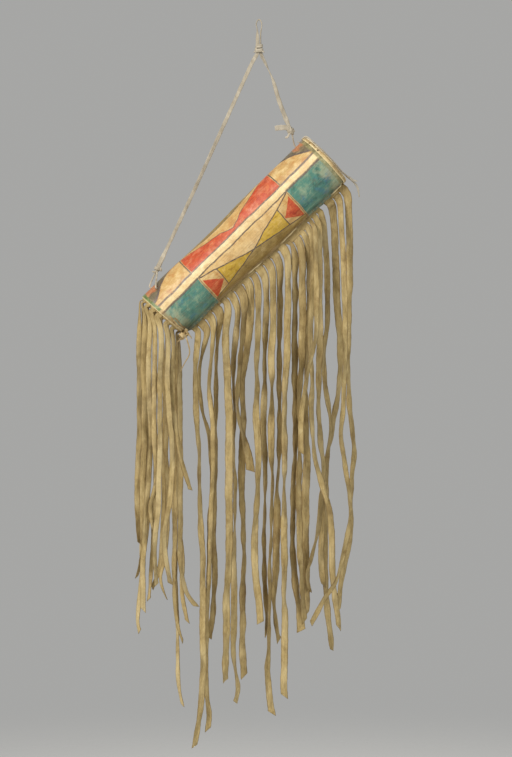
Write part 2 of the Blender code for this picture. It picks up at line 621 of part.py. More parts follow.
def make_tube():
    """Make the rolled and sewn rawhide tube, with the holes that the thongs pass through."""
    ends = TUBE_LENGTH - LID_SKIRT - FLANGE_END_CLEARANCE
    first = FLANGE_START * 1.6
    last = ends - FLANGE_RUNOUT
    count = 9
    stations = [0.0, FLANGE_START * 0.5, FLANGE_START, first]
    stations += [first + (last - first) * k / count for k in range(1, count + 1)]
    stations += [(last + ends) / 2, ends, TUBE_LENGTH]
    outer, inner = zip(*(wall_section(station) for station in stations))
    bm = bmesh.new()
    solid_from_sections(bm, outer, inner)
    tube = add_piece("case_tube", bm, "painted_rawhide")
    cutters = bmesh.new()
    for station, angle in hole_places():
        start = tube_radius(station, angle) - WALL - BORE_START
        add_bore(cutters, station, angle, HOLE_RADIUS, start, BORE_DEPTH)
    combine(tube, add_piece("tube_bores", cutters, "painted_rawhide"), "DIFFERENCE")
    return tube


def hole_places():
    """Return the station and angle of each thong hole in the tube."""
    return [*FORK_HOLES, (TUBE_LENGTH - RIGHT_HOLE_INSET, 0.0), (TUBE_LENGTH - HINGE_HOLE_INSET, 0.0)]


def add_bore(bm, station, angle, radius, start, depth, sides=10):
    """Add a round cutter that stands on the tube's wall."""
    out = outward(angle)
    side = around(angle)
    rings = []
    for reach in (start, start + depth):
        centre = BASE_CENTRE + ALONG * station + out * reach
        ring = []
        for k in range(sides):
            turn = 2.0 * math.pi * k / sides
            ring.append(bm.verts.new(centre + ALONG * radius * math.cos(turn) + side * radius * math.sin(turn)))
        rings.append(ring)
    for k in range(sides):
        following = (k + 1) % sides
        bm.faces.new((rings[0][k], rings[0][following], rings[1][following], rings[1][k]))
    bm.faces.new(rings[0])
    bm.faces.new(rings[1])


def make_base():
    """Make the round base dish, its rim turned out along the tube's lower edge."""
    rim = BASE_RADIUS - WALL - HIDE - 2 * GAP
    floor = DISH_DEPTH
    profile = [(0.0, floor + DISH_WALL), (rim * 0.55, floor + DISH_WALL * 0.9),
               (rim - DISH_ROUND, floor + DISH_WALL), (rim, floor + DISH_WALL - DISH_ROUND),
               (rim, floor - DISH_RIM), (rim - DISH_WALL, floor - DISH_RIM),
               (rim - DISH_WALL, floor), (rim * 0.5, floor - 0.0004), (0.0, floor)]

    def place(radius, station, angle):
        slant = BASE_SLANT * math.cos(angle) * radius / BASE_RADIUS
        return tube_point(station - slant - BASE_OVERHANG + DISH_SET_IN, radius, angle)

    bm = bmesh.new()
    turned(bm, profile, place)
    return add_piece("base_disc", bm, "brown_rawhide")


def lid_profile():
    """Return the lid's outline as (radius, station) from the middle of its inner face round to its outer."""
    inside = MOUTH_RADIUS + LID_CLEARANCE
    outside = inside + LID_WALL
    open_edge = TUBE_LENGTH - LID_SKIRT
    floor = TUBE_LENGTH + GAP
    inner = [(0.0, floor + LID_DOME), (inside * 0.35, floor + LID_DOME * 0.86), (inside * 0.68, floor + LID_DOME * 0.5),
             (inside, floor), (inside, open_edge)]
    outer = [(outside, open_edge), (outside, floor + LID_WALL - LID_CORNER), (outside - LID_CORNER, floor + LID_WALL),
             (inside * 0.68, floor + LID_WALL + LID_DOME * 0.52), (inside * 0.35, floor + LID_WALL + LID_DOME * 0.87),
             (0.0, floor + LID_WALL + LID_DOME)]
    return inner + outer


def make_lid():
    """Make the lid, a shallow cap with a domed face and one lacing hole in its skirt."""
    bm = bmesh.new()
    turned(bm, lid_profile(), lambda radius, station, angle: tube_point(station, radius, angle))
    lid = add_piece("lid_cap", bm, "pale_rawhide")
    cutter = bmesh.new()
    add_bore(cutter, TUBE_LENGTH - LID_SKIRT * 0.42, LACING_HOLE_ANGLE, LACING_HOLE_RADIUS,
             MOUTH_RADIUS + LID_CLEARANCE * 0.5, LACING_BORE_DEPTH, sides=8)
    combine(lid, add_piece("lid_bore", cutter, "pale_rawhide"), "DIFFERENCE")
    return lid


def make_lid_thong():
    """Make the thong over the lid's top corner and across its face, with its loose ends below."""
    skin = MOUTH_RADIUS + LID_CLEARANCE + LID_WALL + GAP + THONG / 2
    face = TUBE_LENGTH + GAP + LID_WALL + GAP + THONG / 2
    start = TUBE_LENGTH - LID_SKIRT + GAP
    route = [(start, skin), (start + 0.004, skin), (face - 0.0008, skin - 0.0002), (face + 0.0016, skin - 0.0030),
             (face + 0.0018, skin - 0.009), (face + LID_DOME * 0.6, skin * 0.64),
             (face + LID_DOME + 0.0003, skin * 0.30), (face + LID_DOME + 0.0004, 0.0),
             (face + LID_DOME + 0.0003, -skin * 0.34), (face + LID_DOME * 0.66, -skin * 0.66),
             (face + 0.0024, -skin * 0.90), (face + 0.0030, -skin - 0.004)]
    bm = bmesh.new()
    points = [tube_point(station, reach, 0.0) for station, reach in route]
    thong_piece(bm, points, 0.0045, [(0.0, math.pi / 2), (1.0, math.pi / 2)],
                [(0.0, TIE_WIDTH * 1.3), (0.5, TIE_WIDTH), (1.0, TIE_WIDTH * 1.2)], [(0.0, THONG), (1.0, THONG)])
    piece = add_piece("lid_thong", bm, "strap_hide")
    foot = tube_point(face + 0.0028, -skin + 0.003, 0.0)
    for drift in ((0.004, -0.004, -0.010, 0.0095, -0.0150, -0.001), (0.002, 0.003, -0.011, 0.010, -0.0380, 0.004)):
        tail = bmesh.new()
        along_one, back_one, down_one, along_two, down_two, back_two = drift
        points = [foot, foot + Vector((along_one, back_one, down_one)),
                  foot + Vector((along_two, back_two, down_two))]
        thong_piece(tail, points, 0.006, [(0.0, 1.3), (1.0, 0.5)],
                    [(0.0, TIE_WIDTH * 0.8), (1.0, TIE_WIDTH * 0.7)], [(0.0, THONG * 0.9), (1.0, THONG * 0.8)])
        combine(piece, add_piece("lid_thong_tail", tail, "strap_hide"), "UNION")
    return piece


def make_hinge_thong():
    """Make the short thong that ties the lid's edge to the tube, its nub standing over its hole."""
    hole = TUBE_LENGTH - HINGE_HOLE_INSET
    end = TUBE_LENGTH - LID_SKIRT - GAP
    radius = tube_radius(hole, 0.0)
    under = radius - WALL - 0.005
    lie = radius + GAP + THONG / 2
    bm = bmesh.new()
    points = [tube_point(hole, under, 0.0), tube_point(hole, radius - WALL / 2, 0.0),
              tube_point(hole + 0.0006, lie - 0.0002, 0.0), tube_point(hole + 0.0030, lie, 0.0),
              tube_point(end, lie, 0.0)]
    thong_piece(bm, points, 0.0022, [(0.0, math.pi / 2), (1.0, math.pi / 2)],
                [(0.0, TIE_WIDTH * BEAD), (0.24, TIE_WIDTH), (0.5, TIE_WIDTH), (1.0, TIE_WIDTH * 1.3)],
                [(0.0, THONG * BEAD), (0.24, THONG), (1.0, THONG * 0.9)])
    piece = add_piece("hinge_thong", bm, "strap_hide")
    nub = bmesh.new()
    points = [tube_point(hole + 0.0005, lie - 0.0004, 0.0), tube_point(hole - 0.0006, lie + 0.0042, 0.0)]
    thong_piece(nub, points, 0.002, [(0.0, math.pi / 2), (1.0, math.pi / 2)],
                [(0.0, TIE_WIDTH * 0.8), (1.0, TIE_WIDTH * 0.6)], [(0.0, THONG), (1.0, THONG * 0.7)])
    combine(piece, add_piece("hinge_nub", nub, "strap_hide"), "UNION")
    return piece


def left_knot():
    """Return the middle of the knot at the strap's left end."""
    return wall_point(LEFT_KNOT_STATION, LEFT_KNOT_RISE, 0.0)


def right_knot():
    """Return the middle of the knot at the strap's right end."""
    return wall_point(TUBE_LENGTH - RIGHT_KNOT_INSET, RIGHT_KNOT_RISE, 0.0)


def make_strap():
    """Make the hanging strap: one thong up from its left knot, over the peg and down to its right knot."""
    side = EYE_HALF_WIDTH
    top = STRAP_THICK / 2
    low = BINDING_TOP - BINDING_HEIGHT - 0.002
    strand = STRAP_THICK / 2 + GAP * 4
    left = left_knot()
    right = right_knot()
    left_mouth = Vector((-strand - 0.0008, 0.0, low))
    right_mouth = Vector((strand + 0.0008, 0.0, low))
    points = [left, left.lerp(left_mouth, 0.05), left.lerp(left_mouth, 0.35), left.lerp(left_mouth, 0.70),
              left.lerp(left_mouth, 0.94) + Vector((-0.0012, 0.0, 0.0)), left_mouth,
              Vector((-strand, 0.0, BINDING_TOP)), Vector((-strand, 0.0, -EYE_DROP * 1.9)),
              Vector((-side, 0.0, -EYE_DROP)), Vector((-side * 0.72, 0.0, -EYE_DROP * 0.22)),
              Vector((0.0, 0.0, top)), Vector((side * 0.72, 0.0, -EYE_DROP * 0.22)),
              Vector((side, 0.0, -EYE_DROP)), Vector((strand, 0.0, -EYE_DROP * 1.9)),
              Vector((strand, 0.0, BINDING_TOP)), right_mouth,
              right_mouth.lerp(right, 0.12) + Vector((0.0012, 0.0, 0.0)),
              right_mouth.lerp(right, 0.34) + Vector((0.0030, 0.0, 0.0)), right_mouth.lerp(right, 0.62),
              right_mouth.lerp(right, 0.95), right]
    bm = bmesh.new()
    width = STRAP_WIDTH
    thick = STRAP_THICK
    thong_piece(bm, points, 0.0058,
                [(0.0, 0.25), (0.30, -0.35), (0.52, 0.30), (0.585, 1.45), (0.60, math.pi / 2), (0.77, math.pi / 2),
                 (0.80, 1.35), (0.845, 1.1), (0.88, 0.15), (1.0, 0.1)],
                [(0.0, LEFT_KNOT_WIDTH), (0.015, LEFT_KNOT_WIDTH), (0.035, width * 0.85), (0.25, width),
                 (0.50, width * 0.85), (0.60, width * 0.8), (0.77, width * 0.8), (0.845, width * 0.62),
                 (0.90, width * 1.15), (0.965, width * 0.9), (0.982, RIGHT_KNOT_WIDTH),
                 (1.0, RIGHT_KNOT_WIDTH * 0.93)],
                [(0.0, LEFT_KNOT_THICK), (0.018, LEFT_KNOT_THICK), (0.035, thick), (0.50, thick), (0.96, thick),
                 (0.982, RIGHT_KNOT_THICK), (1.0, RIGHT_KNOT_THICK * 0.94)])
    strap = add_piece("strap", bm, "strap_hide")
    knot = right
    ends = (((0.0, 0.0, 0.0), (-0.009, -0.002, 0.004), (-0.024, -0.004, 0.006), 0.0105),
            ((-0.001, 0.0, -0.002), (-0.004, -0.002, -0.008), (-0.008, -0.003, -0.0125), 0.0042))
    for first, second, third, broad in ends:
        tail = bmesh.new()
        route = [knot + Vector(first), knot + Vector(second), knot + Vector(third)]
        thong_piece(tail, route, 0.006, [(0.0, 0.1), (1.0, 0.3)], [(0.0, broad * 0.7), (1.0, broad)],
                    [(0.0, THONG), (1.0, THONG)])
        combine(strap, add_piece("strap_tail", tail, "strap_hide"), "UNION")
    return strap


def make_binding():
    """Make the thong wound round both strands of the strap below its eye."""
    strand = STRAP_THICK / 2 + GAP * 4 + STRAP_THICK / 2 + GAP
    deep = STRAP_WIDTH * 0.8 / 2 + GAP * 1.6
    bottom = BINDING_TOP - BINDING_HEIGHT
    levels = 11
    sides = 16

    def loop(grow, height):
        points = []
        for k in range(sides):
            angle = 2.0 * math.pi * k / sides
            c, s = math.cos(angle), math.sin(angle)
            x = math.copysign(abs(c) ** 0.62, c) * (strand + 0.0016 + grow)
            y = math.copysign(abs(s) ** 0.62, s) * (deep + grow)
            points.append(Vector((x, y, height)))
        return points

    rings = []
    for level in range(levels):
        share = level / (levels - 1)
        bulge = BINDING_THICK * (0.62 + 0.38 * abs(math.sin(math.pi * 2.0 * share)))
        rings.append(loop(bulge, bottom + BINDING_HEIGHT * share))
    for height in (BINDING_TOP, bottom):
        rings.append(loop(0.0, height))
    bm = bmesh.new()
    lines = [[bm.verts.new(point) for point in ring] for ring in rings]
    for first, second in zip(lines, lines[1:] + lines[:1]):
        for k in range(sides):
            following = (k + 1) % sides
            bm.faces.new((first[k], first[following], second[following], second[k]))
    return add_piece("strap_binding", bm, "strap_hide")


def tie_into_hole(points, station, angle):
    """Return a tie's route with its last stretch straight through the tube's wall."""
    radius = tube_radius(station, angle)
    return [*points, tube_point(station, radius + TIE_RISE, angle), tube_point(station, radius - WALL / 2, angle),
            tube_point(station, radius - WALL - TIE_INSIDE, angle)]


def make_fork_thong():
    """Make the thong that hangs the case's base end: from one hole, under the strap's knot, to the other."""
    apex = left_knot() - UP * TIE_WIDTH / 2 - ALONG * TIE_WIDTH / 2
    first = tie_into_hole([apex], *FORK_HOLES[0])
    second = tie_into_hole([apex], *FORK_HOLES[1])
    points = first[::-1] + second[1:]
    bm = bmesh.new()
    thong_piece(bm, points, 0.0021, [(0.0, 0.0), (1.0, 0.0)],
                [(0.0, TIE_WIDTH * BEAD), (0.08, TIE_WIDTH * 0.85), (0.5, TIE_WIDTH), (0.92, TIE_WIDTH * 0.85),
                 (1.0, TIE_WIDTH * BEAD)],
                [(0.0, THONG * BEAD), (0.08, THONG * 0.85), (0.92, THONG * 0.85), (1.0, THONG * BEAD)])
    return add_piece("fork_thong", bm, "strap_hide")


def make_right_thong():
    """Make the thin thong from the strap's right knot through the tube's wall."""
    start = right_knot() + Vector((0.0022, 0.0, -0.0028 - GAP))
    points = tie_into_hole([start], TUBE_LENGTH - RIGHT_HOLE_INSET, 0.0)
    bm = bmesh.new()
    thong_piece(bm, points, 0.0026, [(0.0, 0.4), (1.0, 0.4)],
                [(0.0, TIE_WIDTH), (0.80, TIE_WIDTH * 0.9), (1.0, TIE_WIDTH * BEAD)],
                [(0.0, THONG), (0.80, THONG), (1.0, THONG * BEAD)])
    return add_piece("right_thong", bm, "strap_hide")


def make_base_tie():
    """Make the bulky knot at the base's lower corner, with its loose tail."""
    centre = wall_point(-0.001, BASE_KNOT_RISE + GAP, KNOT_ANGLE)
    out = outward(KNOT_ANGLE)
    side = around(KNOT_ANGLE)
    bm = bmesh.new()
    bmesh.ops.create_uvsphere(bm, u_segments=14, v_segments=8, radius=1.0)
    for vert in bm.verts:
        swell = 1.0 + 0.10 * math.cos(5.0 * vert.co.x)
        x, y, z = (share * size for share, size in zip(vert.co, BASE_KNOT_SIZE))
        vert.co = centre + ALONG * x + side * y * swell + out * z * swell
    knot = add_piece("base_tie", bm, "strap_hide")
    foot = centre + Vector((0.002, -0.001, -0.002))
    tails = (((0.0045, -0.002, -0.010), (0.008, -0.002, -0.030), (-0.001, 0.0, -0.048), (-0.010, 0.0, -0.066),
              TIE_WIDTH * 0.75),
             ((-0.004, -0.002, -0.004), (-0.009, -0.003, -0.008), (-0.013, -0.003, -0.011), (-0.015, -0.003, -0.013),
              TIE_WIDTH))
    for one, two, three, four, broad in tails:
        tail = bmesh.new()
        route = [foot, *(foot + Vector(step) for step in (one, two, three, four))]
        thong_piece(tail, route, 0.007, [(0.0, 0.3), (1.0, 0.9)], [(0.0, broad), (1.0, broad * 0.8)],
                    [(0.0, THONG), (1.0, THONG * 0.8)])
        combine(knot, add_piece("base_tie_tail", tail, "strap_hide"), "UNION")
    return knot


def main():
    """Build every piece of the case, and name the ones that swing with the lid."""
    clear_scene()
    hinge = bpy.data.objects.new("lid_hinge_axis", None)
    hinge.location = tube_point(TUBE_LENGTH - LID_SKIRT, MOUTH_RADIUS + LID_CLEARANCE + LID_WALL + GAP, 0.0)
    bpy.context.scene.collection.objects.link(hinge)
    bpy.context.view_layer.update()
    make_tube()
    make_base()
    base_fringe()
    seam_fringe("seam_fringe", SEAM_THONGS)
    seam_fringe("mouth_fringe", MOUTH_THONGS)
    make_strap()
    make_binding()
    make_fork_thong()
    make_right_thong()
    make_hinge_thong()
    make_base_tie()
    for piece in (make_lid(), make_lid_thong()):
        piece.parent = hinge
        piece.matrix_parent_inverse = hinge.matrix_world.inverted()


main()
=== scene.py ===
"""Dress a painted rawhide cylinder case: its painted tube, lid, base, strap and long hide fringes.

The case hangs from the origin and is seen along +Y. Stations run along the tube from its base, and
angles run round it from its top towards the viewer. Every size is in metres.
"""

import logging
import math
from dataclasses import dataclass, field
from enum import Enum
from typing import Callable

import bpy
import numpy as np
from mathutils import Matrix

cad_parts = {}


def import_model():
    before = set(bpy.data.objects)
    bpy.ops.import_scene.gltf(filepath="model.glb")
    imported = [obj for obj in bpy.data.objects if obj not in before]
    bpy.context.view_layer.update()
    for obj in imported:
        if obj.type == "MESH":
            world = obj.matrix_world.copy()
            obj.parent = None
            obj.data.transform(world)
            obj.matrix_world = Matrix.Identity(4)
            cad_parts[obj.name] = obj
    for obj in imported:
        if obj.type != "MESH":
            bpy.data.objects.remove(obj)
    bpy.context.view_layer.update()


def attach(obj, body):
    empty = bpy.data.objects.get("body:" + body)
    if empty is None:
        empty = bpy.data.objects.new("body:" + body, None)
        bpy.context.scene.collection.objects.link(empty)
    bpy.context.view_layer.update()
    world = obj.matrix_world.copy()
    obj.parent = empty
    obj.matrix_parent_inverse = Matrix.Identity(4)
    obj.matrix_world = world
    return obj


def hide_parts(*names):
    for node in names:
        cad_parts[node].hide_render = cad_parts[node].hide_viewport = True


LOG = logging.getLogger("rawhide_case")

Row = tuple[float, ...]
Route = tuple[Row, ...]
Keys = tuple[tuple[float, float], ...]
Tones = tuple[Row, Row, Row]

UNIT = 0.001722
BACK = np.array([0.0, 1.0, 0.0])
LID_SKIRT = 0.0062


class Body(Enum):
    """The rigid bodies that pieces ride on."""

    CASE = "case"
    LID = "lid"


class Side(Enum):
    """The side of the seam that a sewn edge lies on."""

    HIDDEN = 1.0
    VIEWER = -1.0


# Thongs of the seam fringe: the seam stations where each starts and ends, in tracing units from the
# base, the depth lane that keeps it clear of those that it crosses, and its route as points of
# (right, down, seen width). The first point is its root.
SEAM_THONGS: tuple[tuple[float, float, float, Route], ...] = (
    (8, 14, 0, ((193, 328, 6), (195.5, 338, 5.5), (193.5, 362, 4.5), (193.5, 400, 5.5), (196.5, 445, 4),
     (196.7, 485, 2.6), (199, 525, 6), (200.5, 560, 5), (200.5, 610, 6.5), (200.5, 672, 6), (199, 702, 5.5),
     (196, 722, 5.5), (192, 745, 5))),
    (15, 24, 2, ((200, 322, 7), (205.5, 332, 4), (201.5, 350, 3), (197.7, 368, 3), (197.6, 390, 3.2), (201, 411, 3),
     (207.5, 436, 4), (210.5, 470, 4), (208, 520, 4), (206.4, 570, 3.5), (204.6, 640, 4.5), (204.6, 690, 4),
     (207.8, 714, 5.5), (206, 731, 5))),
    (25, 34, 1, ((207, 315, 7), (211.8, 326, 4.5), (211, 346, 3.6), (207.3, 380, 3), (209, 402, 5), (211.3, 425, 5),
     (211.5, 470, 4.6), (209, 520, 4.6), (208, 560, 4), (206.6, 600, 4), (204.5, 655, 4))),
    (35, 45, 3, ((214.5, 307.5, 7), (218.6, 319, 4), (215.6, 342, 3.4), (214.6, 380, 3.6), (214, 412, 4.6),
     (213.3, 470, 4.4), (212, 530, 5.5), (213.2, 573, 6), (212.2, 592, 3), (210.8, 614, 6), (207.5, 638.5, 5.5))),
    (48, 55, 0, ((223, 299.5, 6), (226.6, 311, 4.5), (224.3, 332, 6), (225, 358, 7.5), (227.7, 400, 7.5),
     (227.6, 450, 8), (228, 520, 7.5), (227.6, 560, 6.5), (225, 600, 7), (224.6, 655, 6.5), (224, 680, 4.5))),
    (56, 64, 2, ((229, 293.5, 6), (236, 309, 4.5), (234.5, 332, 6), (231.7, 370, 4), (233, 400, 2.6),
     (232.2, 440, 2.8), (233.2, 490, 3.2), (233.2, 530, 2.8), (232.2, 570, 6), (232.5, 610, 6.5), (231.8, 648, 5),
     (234.2, 671, 3.4), (236, 687, 4), (233.8, 702, 4.2))),
    (65, 75, 1, ((236, 286.5, 7), (242, 299, 4), (241.3, 322, 4), (238.5, 358, 5), (234.8, 396, 2.8),
     (236.2, 413, 2.8), (241.5, 436, 5), (246.3, 455, 7.5), (248.8, 471, 8.5))),
    (76, 85, 3, ((243.5, 279.5, 7), (248.2, 292, 6.5), (248, 320, 8), (244.5, 346, 7.5), (239.8, 380, 5.5),
     (240.6, 404, 5.5), (240.3, 440, 7), (239.6, 482, 7), (240.6, 522, 4.2), (241.4, 560, 4.6), (240.3, 610, 6),
     (240.6, 650, 6.5), (242, 678, 6))),
    (86, 93, 0, ((250, 273, 6), (255.5, 287, 5), (255.4, 320, 6), (254.4, 350, 4.6), (254.8, 380, 4.6),
     (253.4, 410, 6.5), (255.6, 450, 7), (255.2, 482, 4.2), (252.2, 540, 7), (253.6, 575, 7), (256, 600, 7.2),
     (258, 621, 7))),
    (94, 103, 2, ((256.5, 267, 6.5), (263, 281, 5.5), (263.2, 320, 6), (261.7, 350, 4.5), (262.2, 380, 4),
     (260.8, 410, 6.5), (262.2, 455, 5), (262, 500, 3), (261.5, 540, 3.5), (262, 575, 5), (263.7, 610, 3),
     (263.6, 635, 2.5))),
    (104, 113, 1, ((264, 260, 6.5), (270, 275, 5.5), (270.3, 315, 6.5), (268.7, 355, 7), (269.4, 390, 2.8),
     (268.4, 425, 7), (269.3, 470, 3.4), (268.3, 520, 2.8), (267, 580, 3.2), (265.8, 645, 3.2), (264.6, 668, 6),
     (266.3, 692, 6.5), (270, 713, 6.8))),
    (114, 123, 3, ((271, 253, 6.5), (277, 268, 5.5), (277.5, 305, 5.5), (276.3, 350, 5), (276.8, 400, 4.5),
     (277, 435, 5), (275.2, 480, 3), (273.6, 522, 7.5), (273.2, 562, 7), (271.6, 595, 4), (272.8, 618, 4.2),
     (276.6, 641, 4.6))),
    (125, 134, 0, ((279, 245.5, 6.5), (285, 261, 6), (284.5, 300, 6.5), (284, 345, 7), (282, 392, 5), (281.5, 440, 6),
     (281.2, 490, 3.4), (281.3, 540, 7), (281.4, 590, 3.6), (281.6, 625, 7), (280.8, 675, 7), (282.6, 695.5, 6.6))),
    (136, 140, 2, ((285, 239.5, 4.4), (290, 256, 4.6), (290.5, 300, 5.5), (290, 350, 6), (290.6, 400, 6),
     (290.4, 450, 5), (288.6, 500, 5.5), (288, 550, 5.5), (291.2, 582, 6.5), (294.6, 606, 7), (296.3, 628, 8.5))),
    (141, 150, 1, ((290.5, 234.5, 6), (296.5, 252, 6), (297.2, 300, 7.5), (296, 350, 7), (293.8, 395, 4),
     (294.3, 440, 4), (293, 500, 6.5), (294.4, 545, 5.5), (296.5, 580, 5), (299, 618, 4.5))),
    (151, 157, 3, ((296, 229, 5), (303, 247, 5), (303.2, 300, 6), (301.5, 345, 5), (299.3, 372, 3), (300, 410, 5.5),
     (300.8, 450, 7), (299.4, 500, 8), (300, 545, 6.5), (300.8, 585, 7), (300.7, 613, 5.5))),
    (158, 165, 0, ((301.5, 223.5, 5.5), (308, 241, 5), (307.6, 300, 6), (305.6, 332, 5), (307.8, 380, 4.6),
     (306.7, 405, 5), (309.4, 448, 4), (317.4, 480, 5.5), (325, 506, 6), (327, 545, 6.5), (328.6, 582, 6),
     (333.2, 612, 5), (334.2, 627, 3.6))),
    (166, 170, -2, ((306.5, 219, 4.2), (312.5, 236, 4.6), (313, 300, 5.5), (312.4, 335, 4), (305.6, 368, 3.6),
     (300.2, 398, 5), (297.8, 425, 5.5), (298.6, 453, 5.5))),
    (171, 177, 2, ((311, 214.5, 5.5), (316.8, 233, 5.5), (317, 300, 7), (317, 350, 6.5), (315.7, 400, 4.6),
     (318, 440, 5), (321.4, 466, 4.6), (318.5, 495, 4.6), (315.8, 522, 4.4), (309, 556, 3.4), (304.7, 573, 2.6),
     (307.7, 591, 2.4))),
    (178, 184, 4, ((315.5, 210, 5), (321.5, 229, 5), (324.2, 275, 6), (324.8, 312, 5), (321.6, 348, 4), (322, 380, 5),
     (327.4, 418, 3.6), (325, 450, 4), (321.5, 490, 4), (318.6, 535, 5.5), (318.8, 565, 6), (320.6, 587, 5))),
)

# Thongs of the mouth fringe, in the same form
MOUTH_THONGS: tuple[tuple[float, float, float, Route], ...] = (
    (190, 199, 6, ((326, 200, 7), (331.2, 217, 7), (335.3, 290, 7.5), (338.4, 345, 6), (336.8, 388, 5.5),
     (330.4, 424, 4.6), (325.6, 460, 4.2), (324, 500, 4.6), (323, 550, 5.5), (325, 602, 6), (328, 630, 5),
     (330.4, 651, 4.6))),
    (200, 208, -2, ((333, 193.5, 6), (338, 212, 5.5), (341, 290, 5.5), (341.6, 350, 4.5), (340.6, 396, 4.6),
     (337.4, 430, 4.6), (340.8, 459, 4.6), (346.6, 495, 4), (346.3, 517, 4.4), (340.6, 547, 4.4), (333.5, 575, 4),
     (321, 594, 4.6), (306.5, 620, 5))),
    (209, 218, 1, ((340, 186.5, 7), (346.2, 205, 7), (346.8, 290, 6.5), (345.6, 350, 5), (346.2, 388, 4.6),
     (349.4, 428, 5), (351.6, 452, 5), (348.8, 487, 4), (348.6, 522, 5), (343.2, 556, 5), (337.8, 585, 5.5),
     (334.8, 612, 4))),
)

# Thongs of the base fringe: the angle round the rim, how many millimetres it eases back, and its route
BASE_THONGS: tuple[tuple[float, float, Route], ...] = (
    (14, 0, ((146, 299, 5), (143.4, 316, 5), (142.8, 360, 5), (143, 420, 5), (141, 480, 5.5), (142, 520, 4.5),
     (142.6, 543, 4.4))),
    (32, 0, ((147, 302, 5), (147.5, 320, 5.5), (146.6, 365, 6), (147, 430, 5.5), (145.2, 490, 6), (146, 540, 5),
     (142.6, 562, 3), (138.8, 577, 2.6))),
    (51, 0, ((151, 306, 5), (152.3, 324, 5.5), (151, 370, 5.5), (153.5, 430, 5), (151, 480, 5), (147, 530, 5),
     (145.8, 570, 5.5), (146, 611, 5))),
    (69, 0, ((156, 310, 5), (157.4, 330, 4.6), (156.5, 375, 5), (156.8, 430, 5), (158.4, 480, 4.6), (152.6, 505, 4),
     (156.6, 528, 4))),
    (87, 0, ((161, 315, 5), (162.4, 334, 4.4), (161.6, 380, 5), (161, 430, 5), (160, 500, 5.5), (156, 545, 4),
     (158.4, 583, 4))),
    (112, 0, ((169, 322, 5), (169, 340, 5), (168.4, 385, 5.5), (172.2, 440, 5), (171.6, 490, 5.5), (165, 540, 4.6),
     (171.6, 582, 4.2))),
    (131, 0, ((174, 327, 5), (173.6, 346, 4.4), (172.6, 390, 5.5), (176.6, 430, 4.6), (184, 467, 4),
     (190.4, 489, 3.4))),
    (169, 0, ((179, 332, 5), (177.4, 350, 4.6), (177.6, 395, 5), (178.4, 450, 5.5), (178.6, 520, 5), (178, 560, 4.6),
     (183.5, 588, 4), (195.8, 606, 3.6))),
    (192, 0, ((183, 336, 5), (181.6, 352, 5), (181.2, 400, 5), (180.6, 460, 4.6), (181, 520, 4), (184, 560, 4.2),
     (183.4, 592, 4.4), (189.6, 627, 4))),
    (212, 0, ((181, 334, 5), (179.4, 352, 5), (178, 400, 5), (178.8, 470, 5), (176.6, 540, 4.6), (176.8, 600, 4),
     (179.6, 628, 3), (185.4, 648, 2.6))),
    (232, 0, ((175, 328, 5), (174.4, 350, 5), (174.6, 410, 5), (173.6, 470, 5), (174.8, 530, 4.6), (176.2, 590, 4),
     (178.4, 650, 3.6), (178.4, 680, 4), (183, 711, 3))),
    (252, -4, ((169, 323, 5), (168, 345, 5), (167, 400, 5), (166.6, 460, 4.6), (169, 510, 4.4), (164.6, 560, 4),
     (160.4, 582, 3), (167.4, 603, 2.2))),
    (272, 4, ((162, 315, 5), (161.6, 340, 5), (164.4, 400, 5), (164, 470, 5), (162.6, 530, 4.6), (158.4, 570, 4.4),
     (150.6, 591, 4.4))),
    (292, 0, ((156, 310, 5), (155.4, 340, 5), (154.6, 400, 5), (156.4, 470, 5), (154, 530, 5), (151, 580, 4),
     (149, 604, 3.4))),
    (312, 0, ((151, 305, 5), (150, 335, 5), (149.4, 400, 5), (149.6, 470, 5), (148.4, 520, 4.6), (143.4, 570, 4.4),
     (141.2, 600, 4.4), (138.8, 622, 4), (141.2, 636, 3.6))),
    (332, 0, ((147, 300, 5), (145.4, 325, 5), (145, 390, 5), (145.4, 460, 5), (143.2, 520, 5), (145, 566, 4))),
)


# Numbers worked on whole arrays


def smooth_step(value: np.ndarray | float) -> np.ndarray:
    """Ease from 0 to 1 as the value goes from 0 to 1: three squares less two cubes."""
    value = np.clip(value, 0.0, 1.0)
    return value * value * (3.0 - 2.0 * value)


def unit(vectors: np.ndarray) -> np.ndarray:
    """Scale vectors to length one."""
    return vectors / np.maximum(np.linalg.norm(vectors, axis=-1, keepdims=True), 1e-12)


def signed_power(values: np.ndarray, power: float) -> np.ndarray:
    """Raise values to a power and keep their signs."""
    return np.sign(values) * np.abs(values) ** power


def arc_lengths(points: np.ndarray) -> np.ndarray:
    """Return the running length along rows of points."""
    steps = np.linalg.norm(np.diff(points[:, :3], axis=0), axis=1)
    return np.concatenate([[0.0], np.cumsum(steps)])


def smooth_path(points: np.ndarray, step: float) -> np.ndarray:
    """Carry a smooth curve through points and read it off at even steps.

    Each span is a cubic whose slope at an end is half the way between that end's two neighbours.

    Args:
        points: rows of x, y, z and any further values.
        step: the distance between the points read off.

    Returns:
        Rows like the given ones, evenly spaced.
    """
    padded = np.vstack([points[:1], points, points[-1:]])
    before, start, end, after = (padded[i:len(padded) - 3 + i, None] for i in range(4))
    share = np.linspace(0.0, 1.0, 24, endpoint=False)[None, :, None]
    spans = 0.5 * (2 * start + (end - before) * share + (2 * before - 5 * start + 4 * end - after) * share**2
                   + (3 * start - before - 3 * end + after) * share**3)
    dense = np.vstack([spans.reshape(-1, points.shape[1]), points[-1:]])
    lengths = arc_lengths(dense)
    want = np.linspace(0.0, lengths[-1], max(2, round(lengths[-1] / step)) + 1)
    return np.stack([np.interp(want, lengths, column) for column in dense.T], axis=1)


